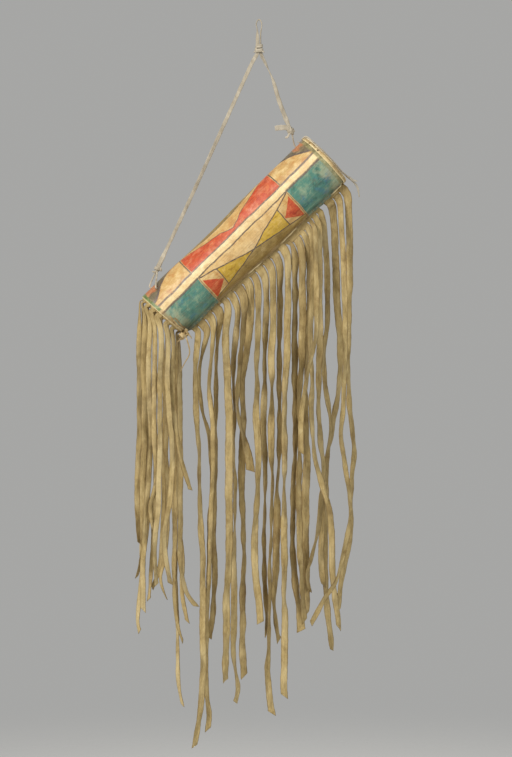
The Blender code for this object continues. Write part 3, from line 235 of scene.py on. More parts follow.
def keyed(share: np.ndarray, keys: Keys) -> np.ndarray:
    """Read eased values at shares of a length from keys of (share, value)."""
    places, values = np.array(keys).T
    index = np.clip(np.searchsorted(places, share, side="right") - 1, 0, len(places) - 2)
    part = smooth_step((share - places[index]) / (places[index + 1] - places[index]))
    return values[index] + (values[index + 1] - values[index]) * part


def ramp(first: float, last: float) -> Keys:
    """Return the keys of a value that eases from one end to the other."""
    return (0.0, first), (1.0, last)


def ripple(share: np.ndarray, seed: int, waves: Row) -> np.ndarray:
    """Return a smooth, repeatable wobble of about unit size: a sum of sines with seeded phases.

    Args:
        share: where along the piece, in metres.
        seed: the number that sets the phases.
        waves: the wave lengths in metres.

    Returns:
        The wobble at each place.
    """
    phases = np.random.default_rng(seed).uniform(0.0, 2.0 * math.pi, len(waves))
    parts = [np.sin(2.0 * math.pi * share / wave + phase) for wave, phase in zip(waves, phases)]
    return sum(parts) / math.sqrt(len(waves))


def grid_uv(along: np.ndarray, columns: int) -> np.ndarray:
    """Return texture coordinates: rows at given lengths, and columns spread evenly from 0 to 1."""
    return np.stack(np.broadcast_arrays(along[:, None], np.linspace(0.0, 1.0, columns + 1)[None, :]), -1)


# Meshes from grids of points


@dataclass
class Patch:
    """A grid of points with its texture coordinates and its values.

    points is (rows, columns, 3). uv is (rows, columns, 2), with one column more where the columns wrap
    and one row more where the rows loop back to the first.
    """

    points: np.ndarray
    uv: np.ndarray
    loop: bool = False
    values: dict[str, np.ndarray | float] = field(default_factory=dict)

    def faces(self) -> np.ndarray:
        """Return the corner numbers of the grid's four-sided faces."""
        rows, columns = self.points.shape[:2]
        left = np.arange(columns)
        right = (left + 1) % columns
        low = np.arange(rows if self.loop else rows - 1)[:, None]
        high = (low + 1) % rows * columns
        low = low * columns
        return np.stack([low + left, low + right, high + right, high + left], -1).reshape(-1, 4)

    def corners_uv(self) -> np.ndarray:
        """Return the texture coordinates of each face's corners, in the order of faces()."""
        uv = self.uv
        return np.stack([uv[:-1, :-1], uv[:-1, 1:], uv[1:, 1:], uv[1:, :-1]], -2).reshape(-1, 4, 2)

    def inward(self) -> bool:
        """Tell whether the faces look inwards: the signed volume, a sum of triple products, is negative."""
        flat = self.points.reshape(-1, 3) - self.points.reshape(-1, 3).mean(0)
        a, b, c, d = (flat[self.faces()[:, k]] for k in range(4))
        return bool((a * np.cross(b, c)).sum() + (a * np.cross(c, d)).sum() < 0.0)


@dataclass
class PieceBuilder:
    """Gathers patches and turns them into one object."""

    name: str
    patches: list[Patch]

    def build(self, material: bpy.types.Material, *replaces: str, body: Body = Body.CASE,
              slot: str = "strap_hide") -> None:
        """Make the object, facing outwards, and tie it to its body.

        Args:
            material: the finish.
            replaces: the CAD nodes that it stands for.
            body: the body that it rides on.
            slot: the record's material slot; not used.
        """
        vertices, faces, uvs, base = [], [], [], 0
        names = sorted({name for patch in self.patches for name in patch.values})
        values: dict[str, list[np.ndarray]] = {name: [] for name in names}
        for patch in self.patches:
            rows, columns = patch.points.shape[:2]
            turn = -1 if patch.inward() else 1
            faces += (patch.faces()[:, ::turn] + base).tolist()
            uvs.append(patch.corners_uv()[:, ::turn].reshape(-1, 2))
            if not patch.loop:
                ring = np.arange(columns)[::turn]
                first, last = ring[::-1], ring + (rows - 1) * columns
                faces += [(first + base).tolist(), (last + base).tolist()]
                uvs += [patch.uv[0, first], patch.uv[-1, last % columns]]
            vertices.append(patch.points.reshape(-1, 3))
            for name in names:
                value = np.broadcast_to(patch.values.get(name, 0.0), (rows, columns))
                values[name].append(np.asarray(value, float).reshape(-1))
            base += rows * columns
        mesh = bpy.data.meshes.new(self.name)
        mesh.from_pydata(np.vstack(vertices).tolist(), [], faces)
        layer = mesh.uv_layers.new(name="Surface")
        layer.data.foreach_set("uv", np.vstack(uvs).astype(np.float32).ravel())
        for name in names:
            attribute = mesh.attributes.new(name, "FLOAT", "POINT")
            attribute.data.foreach_set("value", np.concatenate(values[name]).astype(np.float32))
        mesh.shade_smooth()
        mesh.validate()
        piece = bpy.data.objects.new(self.name, mesh)
        bpy.context.scene.collection.objects.link(piece)
        piece.data.materials.append(material)
        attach(piece, body.value)
        if replaces:
            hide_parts(*replaces)
        LOG.info("%s: %d faces", self.name, len(mesh.polygons))


@dataclass(frozen=True)
class Section:
    """The rounded flat section of a hide thong, as points of (across, through) from -1 to 1.

    It is a superellipse: cosine and sine, each raised to a power below one and keeping its sign.
    """

    corners: int = 12
    square: float = 0.45

    def points(self) -> tuple[np.ndarray, np.ndarray]:
        """Return the across and through values of the section's corners."""
        angle = 2.0 * math.pi * (np.arange(self.corners) + 0.5) / self.corners
        return signed_power(np.cos(angle), self.square), signed_power(np.sin(angle), 0.8)


SHEET = Section(10, 0.3)
SHEET_HALF = 0.00055


def thong_frames(path: np.ndarray, turns: np.ndarray) -> tuple[np.ndarray, np.ndarray]:
    """Return the across and face directions along a path.

    Across starts in the viewer's plane, square to the path, and is turned towards the back by an angle.

    Args:
        path: points along the thong.
        turns: the angle per point.

    Returns:
        Across directions and face directions, both of length one.
    """
    tangent = unit(np.gradient(path, axis=0))
    flat = unit(np.stack([-tangent[:, 2], np.zeros(len(path)), tangent[:, 0]], -1))
    across = flat * np.cos(turns)[:, None] + BACK * np.sin(turns)[:, None]
    across = unit(across - tangent * (across * tangent).sum(-1, keepdims=True))
    return across, np.cross(tangent, across)


def sweep(path: np.ndarray, across: np.ndarray, face: np.ndarray, width: np.ndarray, thick: np.ndarray | float,
          tone: np.ndarray, start: float, cup: np.ndarray | float = 0.0, section: Section = Section()) -> Patch:
    """Sweep a rounded flat section along a path.

    The surface is the path, plus across times half the width times the section's across value, plus
    face times half the thickness times its through value. A cupped thong's edges bend off its face by
    cup times the width times the across value squared, less its mean.

    Args:
        path: points along the thong.
        across: the direction of the width at each point.
        face: the direction of the thickness at each point.
        width: the width at each point.
        thick: the thickness.
        tone: how light the hide is, from 0 to 1 once it is clipped.
        start: where the texture starts, in metres.
        cup: how far the edges bend, as a share of the width.
        section: the section's shape.

    Returns:
        The closed patch.
    """
    side, through = section.points()
    lift = (np.asarray(cup) * width)[:, None] * (side[None, :] ** 2 - 0.4)
    deep = through[None, :] * (np.zeros(len(path)) + thick)[:, None] / 2 + lift
    broad = side[None, :] * width[:, None] / 2
    surface = path[:, None] + across[:, None] * broad[..., None] + face[:, None] * deep[..., None]
    return Patch(surface, grid_uv(arc_lengths(path) + start, section.corners),
                 values={"tone": np.clip(tone, 0.0, 1.0)[:, None]})


def thong(points: list[np.ndarray], turns: Keys, widths: Keys, thicks: Keys, tone: float = 0.5,
          seed: int = 0, step: float = 0.0012, cup: float = 0.0) -> Patch:
    """Sweep a thong along a route, its width turned from the viewer's plane by keyed angles.

    Args:
        points: the route.
        turns: keys of the section's angle.
        widths: keys of the width.
        thicks: keys of the thickness.
        tone: how light the hide is, from 0 to 1.
        seed: the number that sets the small unevenness.
        step: the distance between rings.
        cup: how far the edges bend, as a share of the width.

    Returns:
        The closed patch.
    """
    path = smooth_path(np.array(points, float), step)
    lengths = arc_lengths(path)
    share = lengths / lengths[-1]
    width = keyed(share, widths) * (1.0 + 0.06 * ripple(lengths, seed, (0.007, 0.017, 0.031)))
    shade = tone + 0.18 * ripple(lengths, seed + 1, (0.011, 0.037, 0.09))
    return sweep(path, *thong_frames(path, keyed(share, turns)), width, keyed(share, thicks), shade, 0.3 * seed, cup)


def laid_thong(points: np.ndarray, normals: np.ndarray, width: float, thick: float, tone: float, step: float,
               seed: int) -> Patch:
    """Sweep a thong that lies flat on something, its face along given normals.

    Args:
        points: the route.
        normals: the direction off what it lies on, at each point of the route.
        width: the width.
        thick: the thickness.
        tone: how light the hide is, from 0 to 1.
        step: the distance between rings.
        seed: the number that sets the small unevenness.

    Returns:
        The closed patch.
    """
    rows = smooth_path(np.hstack([points, normals]), step)
    path = rows[:, :3]
    lengths = arc_lengths(path)
    tangent = unit(np.gradient(path, axis=0))
    across = unit(np.cross(tangent, rows[:, 3:]))
    widths = width * (1.0 + 0.08 * ripple(lengths, seed, (0.006, 0.013, 0.027)))
    shade = tone + 0.2 * ripple(lengths, seed + 1, (0.009, 0.02, 0.05))
    return sweep(path, across, np.cross(across, tangent), widths, thick, shade, 0.3 * seed)


@dataclass(frozen=True)
class Coil:
    """A thong wound round something: a helix of ellipses about a centre.

    The path is the centre, plus the axis times the climb, plus the two side directions times the cosine
    and sine of the angle and their reaches.
    """

    centre: np.ndarray
    axis: np.ndarray
    first: np.ndarray
    reach: tuple[float, float]
    climb: float
    turns: float
    width: float
    thick: float
    phase: float
    tone: float
    seed: int
    square: float = 1.0

    def patch(self) -> Patch:
        """Return the wound thong as a closed patch, its width along the axis."""
        axis = unit(self.axis)
        first = unit(self.first - axis * float(self.first @ axis))
        angle = self.phase + np.linspace(0.0, 2.0 * math.pi * self.turns, int(64 * self.turns) + 2)
        share = np.linspace(-0.5, 0.5, len(angle))
        loose = 1.0 + 0.05 * ripple(angle, self.seed, (2.1, 4.7))
        drawn = 1.0 - 0.25 * (1.0 - smooth_step((0.5 - np.abs(share)) * self.turns * 4.0))
        path = self.centre + axis * (share * self.climb)[:, None]
        for direction, reach, bend in zip((first, np.cross(axis, first)), self.reach, (np.cos(angle), np.sin(angle))):
            path = path + direction * (reach * signed_power(bend, self.square) * loose * drawn)[:, None]
        tangent = unit(np.gradient(path, axis=0))
        across = unit(axis - tangent * (tangent @ axis)[:, None])
        width = self.width * (1.0 + 0.08 * ripple(angle, self.seed + 1, (1.3, 3.1)))
        shade = self.tone + 0.2 * ripple(angle, self.seed + 2, (1.7, 3.9))
        return sweep(path, across, np.cross(across, tangent), width, self.thick, shade, 0.3 * self.seed)


def lump(centre: np.ndarray, axes: np.ndarray, sizes: Row, tone: float, seed: int) -> Patch:
    """Return a lumpy ball: the centre plus three axes times the sizes and a sphere's cosines and sines.

    Args:
        centre: the middle.
        axes: three directions as rows.
        sizes: the half size along each.
        tone: how light it is, from 0 to 1.
        seed: the number that sets the lumps.

    Returns:
        The closed patch.
    """
    polar = np.linspace(0.06, math.pi - 0.06, 18)[:, None]
    turn = np.linspace(0.0, 2.0 * math.pi, 25)[None, :-1]
    lumps = 1.0 + 0.10 * np.sin(3.0 * turn + 2.0 * polar + seed) * np.sin(polar) + 0.06 * np.sin(5.0 * polar - turn)
    parts = (np.cos(polar) + 0.0 * turn, np.sin(polar) * np.cos(turn), np.sin(polar) * np.sin(turn))
    points = centre + sum(axis * (size * part * lumps)[..., None] for axis, size, part in zip(axes, sizes, parts))
    return Patch(points, grid_uv(polar[:, 0] * sizes[0], 24), values={"tone": tone})


# The tube that everything is measured from


@dataclass(frozen=True)
class TubeFrame:
    """The tube's sizes and directions."""

    length: float = 0.383
    rise: float = math.radians(43.9)
    base: tuple[float, float, float] = (-0.162, 0.0, -0.506)
    base_radius: float = 0.0482
    mouth_radius: float = 0.0508
    wall: float = 0.0024
    dent: float = 0.0011
    draw_in: float = 0.0010
    base_slant: float = 0.0040
    base_overhang: float = 0.0045
    seam_angle: float = math.radians(170)
    hide: float = 0.0014
    gap: float = 0.0004

    @property
    def slit(self) -> float:
        """How far each sewn edge stands off the seam's middle."""
        return self.hide / 2 + self.gap

    @property
    def along(self) -> np.ndarray:
        """The direction from the base to the mouth."""
        return np.array([math.cos(self.rise), 0.0, math.sin(self.rise)])

    @property
    def up(self) -> np.ndarray:
        """The direction from the axis to the tube's top."""
        return np.array([-math.sin(self.rise), 0.0, math.cos(self.rise)])

    def outward(self, angle: np.ndarray | float) -> np.ndarray:
        """Return the direction off the axis at an angle."""
        angle = np.asarray(angle)[..., None]
        return self.up * np.cos(angle) - BACK * np.sin(angle)

    def around(self, angle: np.ndarray | float) -> np.ndarray:
        """Return the direction in which the angle grows."""
        angle = np.asarray(angle)[..., None]
        return -self.up * np.sin(angle) - BACK * np.cos(angle)

    def point(self, station: np.ndarray | float, radius: np.ndarray | float, angle: np.ndarray | float) -> np.ndarray:
        """Return the point at a station along the axis, a radius from it and an angle round it."""
        along = np.asarray(station)[..., None] * self.along
        return np.array(self.base) + along + self.outward(angle) * np.asarray(radius)[..., None]

    def radius(self, station: np.ndarray | float, angle: np.ndarray | float) -> np.ndarray:
        """Return the outer radius: a taper with the soft dents that dried hide has."""
        share = np.asarray(station) / self.length
        taper = self.base_radius + (self.mouth_radius - self.base_radius) * share
        swell = np.sin(math.pi * np.clip(share, 0.0, 1.0))
        dent = np.cos(3.0 * np.asarray(angle) + 7.0 * share) + 0.8 * np.cos(2.0 * np.asarray(angle) - 11.0 * share)
        drawn = self.draw_in * smooth_step((share - 0.962) / 0.030)
        return taper + self.dent * swell * dent - self.dent * 0.9 * swell * swell - drawn

    def wall_point(self, station: float, rise: float, angle: float) -> np.ndarray:
        """Return the point at a rise over the outer surface."""
        return self.point(station, self.radius(station, angle) + rise, angle)

    def base_edge(self, angle: np.ndarray | float) -> np.ndarray:
        """Return the station of the lower edge, cut a little aslant."""
        return -self.base_overhang - self.base_slant * np.cos(angle)


TUBE = TubeFrame()


# Shader graphs


def linear(red: float, green: float, blue: float) -> Row:
    """Turn a colour of 0 to 255 as seen on a screen into the linear one that shaders use."""
    values = np.array([red, green, blue]) / 255.0
    made = np.where(values <= 0.04045, values / 12.92, ((values + 0.055) / 1.055) ** 2.4)
    return (*made.tolist(), 1.0)


class Field:
    """A shader value: a node's output that does arithmetic by adding Math nodes."""

    def __init__(self, graph: "Graph", socket: bpy.types.NodeSocket) -> None:
        """Keep an output of one graph."""
        self.graph, self.socket = graph, socket

    def __add__(self, other: "Value") -> "Field":
        """Add a value."""
        return self.graph.math("ADD", self, other)

    def __sub__(self, other: "Value") -> "Field":
        """Take a value away."""
        return self.graph.math("SUBTRACT", self, other)

    def __mul__(self, other: "Value") -> "Field":
        """Multiply by a value."""
        return self.graph.math("MULTIPLY", self, other)

    def __abs__(self) -> "Field":
        """Drop the sign."""
        return self.graph.math("ABSOLUTE", self)


Value = Field | float | tuple


class Graph:
    """Adds nodes to a tree and joins them."""

    def __init__(self, tree: bpy.types.NodeTree) -> None:
        """Work on one tree."""
        self.tree = tree

    def feed(self, socket: bpy.types.NodeSocket, value: Value) -> None:
        """Link a socket to another, or set its value."""
        if isinstance(value, Field):
            self.tree.links.new(value.socket, socket)
        else:
            socket.default_value = value

    def node(self, kind: str, output: str | int, inputs: dict[str | int, Value], **settings: object) -> Field:
        """Add a node with its settings, feed its inputs by name or number, and return one of its outputs."""
        made = self.tree.nodes.new(kind)
        for name, value in settings.items():
            setattr(made, name, value)
        for name, value in inputs.items():
            self.feed(made.inputs[name], value)
        return Field(self, made.outputs[output])

    def math(self, operation: str, *values: Value, clamp: bool = False) -> Field:
        """Add a Math node."""
        return self.node("ShaderNodeMath", 0, dict(enumerate(values)), operation=operation, use_clamp=clamp)

    def vector(self, operation: str, output: str, inputs: dict[int, Value]) -> Field:
        """Add a Vector Math node."""
        return self.node("ShaderNodeVectorMath", output, inputs, operation=operation)

    def mix(self, factor: Value, first: Value, second: Value, blend: str = "MIX") -> Field:
        """Mix two colours."""
        return self.node("ShaderNodeMix", 2, {0: factor, 6: first, 7: second}, data_type="RGBA", blend_type=blend)

    def step(self, value: Field, low: float, high: float) -> Field:
        """Ease from 0 to 1 between two values, either way round."""
        return self.node("ShaderNodeMapRange", 0, {0: value, 1: low, 2: high}, interpolation_type="SMOOTHSTEP")

    def noise(self, vector: Value, scale: Value, detail: float = 3.0, rough: float = 0.55,
              twist: float = 0.0) -> Field:
        """Add a Noise Texture and return its value."""
        return self.node("ShaderNodeTexNoise", 0, {"Vector": vector, "Scale": scale, "Detail": detail,
                                                   "Roughness": rough, "Distortion": twist})

    def place(self, vector: Value, scale: Row, turn: Row = (0.0, 0.0, 0.0)) -> Field:
        """Turn and scale texture coordinates."""
        return self.node("ShaderNodeMapping", 0, {"Vector": vector, "Scale": scale, "Rotation": turn},
                         vector_type="POINT")

    def part(self, vector: Field, index: int) -> Field:
        """Return one number of a vector."""
        return self.node("ShaderNodeSeparateXYZ", index, {0: vector})

    def attribute(self, name: str) -> Field:
        """Read a value that the mesh carries."""
        return self.node("ShaderNodeAttribute", "Fac", {}, attribute_name=name)

    def coordinates(self, kind: str) -> Field:
        """Read Object or UV coordinates."""
        return self.node("ShaderNodeTexCoord", kind, {})

    def group(self, tree: bpy.types.NodeTree, output: str, **values: Value) -> Field:
        """Place a shared group with its own values, and return one of its outputs."""
        return self.node("ShaderNodeGroup", output, values, node_tree=tree)

    def band(self, value: Field, at: float, half: float, soft: float = 0.6) -> Field:
        """Return a mask within a half width of a value."""
        return self.step(abs(value - at), half + soft / 2, half - soft / 2)

    def under(self, value: Field, limit: float, soft: float = 0.7) -> Field:
        """Return a mask where a value is below a limit."""
        return self.step(value, limit + soft / 2, limit - soft / 2)

    def over(self, value: Field, limit: float, soft: float = 0.7) -> Field:
        """Return a mask where a value is above a limit."""
        return self.step(value, limit - soft / 2, limit + soft / 2)


class GroupGraph(Graph):
    """A shared node group with one output."""

    def __init__(self, name: str, output: str, kind: str, **inputs: float | Row | None) -> None:
        """Start a group.

        Args:
            name: the group's name.
            output: the output's name.
            kind: the output's kind.
            inputs: the default of each input: a colour, a number, or None for a vector.
        """
        super().__init__(bpy.data.node_groups.new(name, "ShaderNodeTree"))
        kinds = {tuple: "NodeSocketColor", float: "NodeSocketFloat", type(None): "NodeSocketVector"}
        for label, value in inputs.items():
            socket = self.tree.interface.new_socket(label, in_out="INPUT", socket_type=kinds[type(value)])
            if value is not None:
                socket.default_value = value
        self.tree.interface.new_socket(output, in_out="OUTPUT", socket_type=kind)
        sockets = self.tree.nodes.new("NodeGroupInput").outputs
        self.given = {label: Field(self, sockets[label]) for label in inputs}

    def close(self, value: Field) -> bpy.types.NodeTree:
        """Feed the group's output and return its tree."""
        self.feed(self.tree.nodes.new("NodeGroupOutput").inputs[0], value)
        return self.tree


class SharedEffects:
    """The node groups that more than one finish uses, each built once."""

    def __init__(self) -> None:
        """Build every group."""
        self.mottle = self.build_mottle()
        self.hide_grain = self.build_hide_grain()
        self.stroke = self.build_stroke()
        self.grime = self.build_grime()

    def build_mottle(self) -> bpy.types.NodeTree:
        """Build the uneven tone: three colours mixed by a broad and a fine noise."""
        group = GroupGraph("uneven_tone", "Color", "NodeSocketColor", Vector=None, Low=(0.3, 0.3, 0.3, 1.0),
                           Middle=(0.5, 0.5, 0.5, 1.0), High=(0.7, 0.7, 0.7, 1.0), Broad=60.0, Fine=400.0)
        vector, low, middle, high, broad, fine = group.given.values()
        blend = group.noise(vector, broad, 4.0, 0.6, 0.4) * 0.72 + group.noise(vector, fine, 3.0, 0.6) * 0.28
        darker = group.mix(group.step(blend, 0.36, 0.50), low, middle)
        return group.close(group.mix(group.step(blend, 0.50, 0.64), darker, high))

    def build_hide_grain(self) -> bpy.types.NodeTree:
        """Build the height of hide: pores, soft wrinkles and a fine nap."""
        group = GroupGraph("hide_grain", "Height", "NodeSocketFloat", Vector=None, Wrinkle=1.0, Nap=1.0)
        vector, wrinkle, nap = group.given.values()
        cells = group.node("ShaderNodeTexVoronoi", "Distance", {"Vector": vector, "Scale": 620.0}, feature="F1")
        soft = group.noise(vector, 140.0, 4.0, 0.62, 0.8) * wrinkle
        return group.close(soft + group.noise(vector, 1500.0, 2.0, 0.6) * (nap * 0.35) + cells * (nap * 0.2))

    def build_stroke(self) -> bpy.types.NodeTree:
        """Build the mask of a painted stroke: 1 near the segment from A to B, easing to 0 off it.

        The distance is the length of the point less A, less the segment times the share along it.
        """
        group = GroupGraph("painted_stroke", "Mask", "NodeSocketFloat", Vector=None, A=None, B=None, Half=1.0,
                           Soft=0.5)
        vector, start, end, half, soft = group.given.values()
        point = group.vector("SUBTRACT", "Vector", {0: vector, 1: start})
        span = group.vector("SUBTRACT", "Vector", {0: end, 1: start})
        dot = group.vector("DOT_PRODUCT", "Value", {0: point, 1: span})
        share = group.math("DIVIDE", dot, group.vector("DOT_PRODUCT", "Value", {0: span, 1: span}), clamp=True)
        foot = group.vector("SCALE", "Vector", {0: span, 3: share})
        off = group.vector("DISTANCE", "Value", {0: point, 1: foot})
        return group.close(group.math("ADD", group.math("DIVIDE", half - off, soft), 0.5, clamp=True))

    def build_grime(self) -> bpy.types.NodeTree:
        """Build the darkening of handled hide: blots of two sizes, as a mask."""
        group = GroupGraph("grime", "Mask", "NodeSocketFloat", Vector=None, Scale=40.0, Amount=0.5)
        vector, scale, amount = group.given.values()
        blots = group.step(group.noise(vector, scale, 6.0, 0.68, 0.5), 0.48, 0.72)
        return group.close(group.math("MULTIPLY", blots, amount, clamp=True))


class FinishGraph(Graph):
    """A material's graph, whose colour is laid on in coats."""

    def __init__(self, name: str, effects: SharedEffects | None = None) -> None:
        """Start a material, which may use the shared node groups."""
        self.material = bpy.data.materials.new(name)
        self.material.use_nodes = True
        super().__init__(self.material.node_tree)
        self.shader = self.tree.nodes["Principled BSDF"]
        self.effects = effects
        self.where = self.coordinates("Object")
        self.colour: Field | None = None

    def paint(self, tones: Tones, broad: float = 70.0, fine: float = 420.0, vector: Field | None = None) -> Field:
        """Return an uneven paint of three tones."""
        low, middle, high = (linear(*tone) for tone in tones)
        return self.group(self.effects.mottle, "Color", Vector=vector or self.where, Low=low, Middle=middle,
                          High=high, Broad=broad, Fine=fine)

    def lay(self, mask: Field, coat: Field | Tones | Row, share: float = 1.0, broad: float = 70.0,
            blend: str = "MIX") -> None:
        """Lay a coat over the colour.

        Args:
            mask: where it lies.
            coat: a made colour, three tones or one.
            share: how much of it covers.
            broad: the scale of the tones' unevenness.
            blend: how it mixes.
        """
        if not isinstance(coat, Field):
            coat = self.paint(coat, broad) if isinstance(coat[0], tuple) else linear(*coat)
        self.colour = self.mix(mask if share == 1.0 else mask * share, self.colour, coat, blend)

    def grime(self, scale: float, amount: float) -> Field:
        """Return the mask of blots."""
        return self.group(self.effects.grime, "Mask", Vector=self.where, Scale=scale, Amount=amount)

    def grain(self, wrinkle: float, nap: float) -> Field:
        """Return the height of hide."""
        return self.group(self.effects.hide_grain, "Height", Vector=self.where, Wrinkle=wrinkle, Nap=nap)

    def close(self, rough: Field, height: Field, distance: float, strength: float) -> bpy.types.Material:
        """Feed the shader its colour, its roughness and its bumps.

        Args:
            rough: the roughness.
            height: the height of the bumps.
            distance: how far a height of one stands out.
            strength: how strongly the bumps show.

        Returns:
            The material.
        """
        bump = self.node("ShaderNodeBump", "Normal", {"Strength": strength, "Distance": distance, "Height": height})
        for name, value in (("Base Color", self.colour), ("Roughness", rough), ("Normal", bump)):
            self.feed(self.shader.inputs[name], value)
        return self.material


@dataclass(frozen=True)
class PaintedRawhide:
    """The tube's painted hide.

    The paint is laid out on a plane in millimetres: x is the distance from the tube's middle station and
    y the distance round it from the line opposite the seam, so each shape is drawn once and comes four
    times. Boundaries that bend are Float Curves of x.
    """

    middle: float = 186.5
    half_girth: float = 157.1
    seam_shift: float = 8.7
    skew: float = 0.0127
    stripe: tuple[float, float] = (60.8, 75.3)
    end_line: float = 106.2
    arms_meet: float = 73.6
    arms_level: float = 108.65
    arm_slopes: tuple[float, float] = (-0.2993, 0.24)
    triangle_tip: tuple[float, float] = (74.8, 109.0)
    triangle_slope: float = 1.12
    triangle_end: float = 103.6
    orange_from: tuple[float, float] = (166.0, 30.0)
    base_rim: float = 71.5
    mouth_rim: tuple[float, float] = (369.5, 372.5)
    stroke_ends: tuple[float, float] = (-20.0, 150.0)
    line_half: float = 1.05
    streaks: Row = (9.0, 62.0, 1.0)
    curve_reach: Row = (200.0, 100.0)
    waist: Keys = ((0, 53.5), (12, 49.5), (24, 43.0), (52, 34.0), (66, 28.0), (105, 11.0), (200, 4))
    arch: Keys = ((0, 25.0), (30, 23.0), (50, 19.0), (80, 10.5), (104, 1.5), (200, 0.5))
    bend: Keys = ((0, 0), (110, 0.5), (126, 5.0), (143, 18.0), (158, 30.0), (172, 43.0), (200, 62.0))
    cream: Tones = ((190, 136, 74), (206, 168, 104), (224, 194, 136))
    pale: Row = (238, 214, 160)
    line: Row = (80, 70, 68)
    end_ink: Row = (94, 82, 76)
    red: Tones = ((174, 52, 18), (196, 74, 30), (212, 112, 64))
    # pale pink of the red's patches: partly rubbed paint, partly painted sheen
    rubbed_red_and_sheen: Row = (222, 146, 112)
    teal: Tones = ((52, 104, 90), (78, 132, 116), (122, 154, 128))
    blue: Row = (60, 118, 138)
    faded: Row = (176, 178, 142)
    # deep green of the teal's lower corner by the base: painted shade
    deep: Row = (36, 66, 36)
    gold: Tones = ((180, 138, 32), (204, 166, 50), (216, 180, 90))
    top: Tones = ((128, 102, 44), (152, 126, 62), (176, 150, 90))
    # darker olive-tan of the lower field: partly its paint, partly painted shade of the downward side
    lower_field_and_shade: Tones = ((136, 110, 54), (164, 136, 74), (188, 162, 104))
    tan: Tones = ((206, 168, 106), (226, 192, 132), (236, 208, 154))
    # grey-brown beyond the end panels' bend: painted shade of the fork's shadow
    painted_fork_shadow: Tones = ((86, 78, 60), (112, 102, 78), (150, 134, 102))
    orange: Tones = ((180, 92, 48), (200, 120, 70), (210, 160, 110))
    green: Tones = ((70, 92, 40), (94, 118, 60), (144, 154, 100))
    mouth: Tones = ((104, 104, 62), (140, 136, 92), (176, 168, 124))
    rim: Row = (150, 122, 74)
    # dark brown towards the seam: part grime, part painted shade between the edges and the fringe
    seam: Row = (92, 66, 34)
    dirt: Row = (150, 108, 62)
    speck: Row = (118, 84, 50)
    inside: Tones = ((150, 116, 66), (186, 150, 92), (206, 174, 118))
    raw: Row = (232, 212, 162)

    def curve(self, graph: Graph, x: Field, points: Keys) -> Field:
        """Return a boundary's y for each x, from a Float Curve through points of (x, y) in millimetres."""
        wide, tall = self.curve_reach
        made = graph.node("ShaderNodeFloatCurve", 0, {"Value": graph.math("DIVIDE", x, wide)})
        mapping = made.socket.node.mapping
        line = mapping.curves[0]
        for end in (0, -1):
            line.points[end].location = (points[end][0] / wide, points[end][1] / tall)
        for across, value in points[1:-1]:
            line.points.new(across / wide, value / tall)
        mapping.update()
        return made * tall

    def build(self, effects: SharedEffects) -> bpy.types.Material:
        """Build the painted material.

        Args:
            effects: the shared node groups.

        Returns:
            The material.
        """
        graph = FinishGraph("painted_rawhide", effects)
        where, uv = graph.where, graph.coordinates("UV")
        band, under, over, step, noise = graph.band, graph.under, graph.over, graph.step, graph.noise
        station = graph.part(uv, 0) * (TUBE.length * 1000.0)
        wobble = (noise(where, 24.0, 2.0) - 0.5) * 5.0 + (noise(where, 210.0, 3.0, 0.65) - 0.5) * 1.5
        offset = station - self.middle
        level = graph.part(uv, 1) * self.half_girth - self.seam_shift
        drawn = step(offset, -12.0, -70.0) * step(level, 60.0, 80.0)
        x = drawn * 3.0 + (abs(offset) + wobble * 0.8)
        y = level + offset * self.skew + wobble
        plane = graph.node("ShaderNodeCombineXYZ", 0, {0: x, 1: y})
        half = self.line_half
        top, low = self.stripe
        centre, ends, lower = under(x, self.end_line), over(x, self.end_line), over(y, low)
        graph.colour = graph.paint(self.cream)

        # Upper panel: the red shape on the stripe, narrow at the middle, under the arched top
        past_waist = y - self.curve(graph, x, self.waist)
        red = under(x, self.end_line - 2.0) * step(past_waist, -0.4, 0.6) * under(y, top - 1.0)
        scarlet = graph.paint(self.red, 90.0)
        # Pale pink patches on the red: partly rubbed paint, partly painted sheen
        rubbed_and_sheen = step(noise(graph.place(where, (1.0, 1.0, 0.6)), 64.0, 4.0, 0.7), 0.46, 0.70)
        graph.lay(red, graph.mix(rubbed_and_sheen * 0.48, scarlet, linear(*self.rubbed_red_and_sheen)))
        over_arch = self.curve(graph, x, self.arch) - y
        graph.lay(centre * step(over_arch, -0.5, 0.5), self.top, broad=60.0)

        # End panels over the stripe: a bent dark band, then olive darkened as painted fork shadow, and an orange
        # patch
        past_bend = self.curve(graph, x, self.bend) - y
        graph.lay(ends * step(past_bend, -0.5, 0.5), self.painted_fork_shadow, broad=80.0)
        ragged = (noise(where, 120.0, 3.0, 0.7) - 0.5) * 26.0
        patch = over(x + ragged, self.orange_from[0], 6.0) * under(y + ragged, self.orange_from[1], 9.0) * ends
        graph.lay(patch, self.orange, 0.78, 150.0)

        # Stripe between its two lines, paler than the rest
        uneven = step(noise(where, 70.0, 4.0, 0.7), 0.35, 0.65) * 0.45 + 0.45
        graph.lay(over(y, top) * under(y, low) * uneven, self.pale)

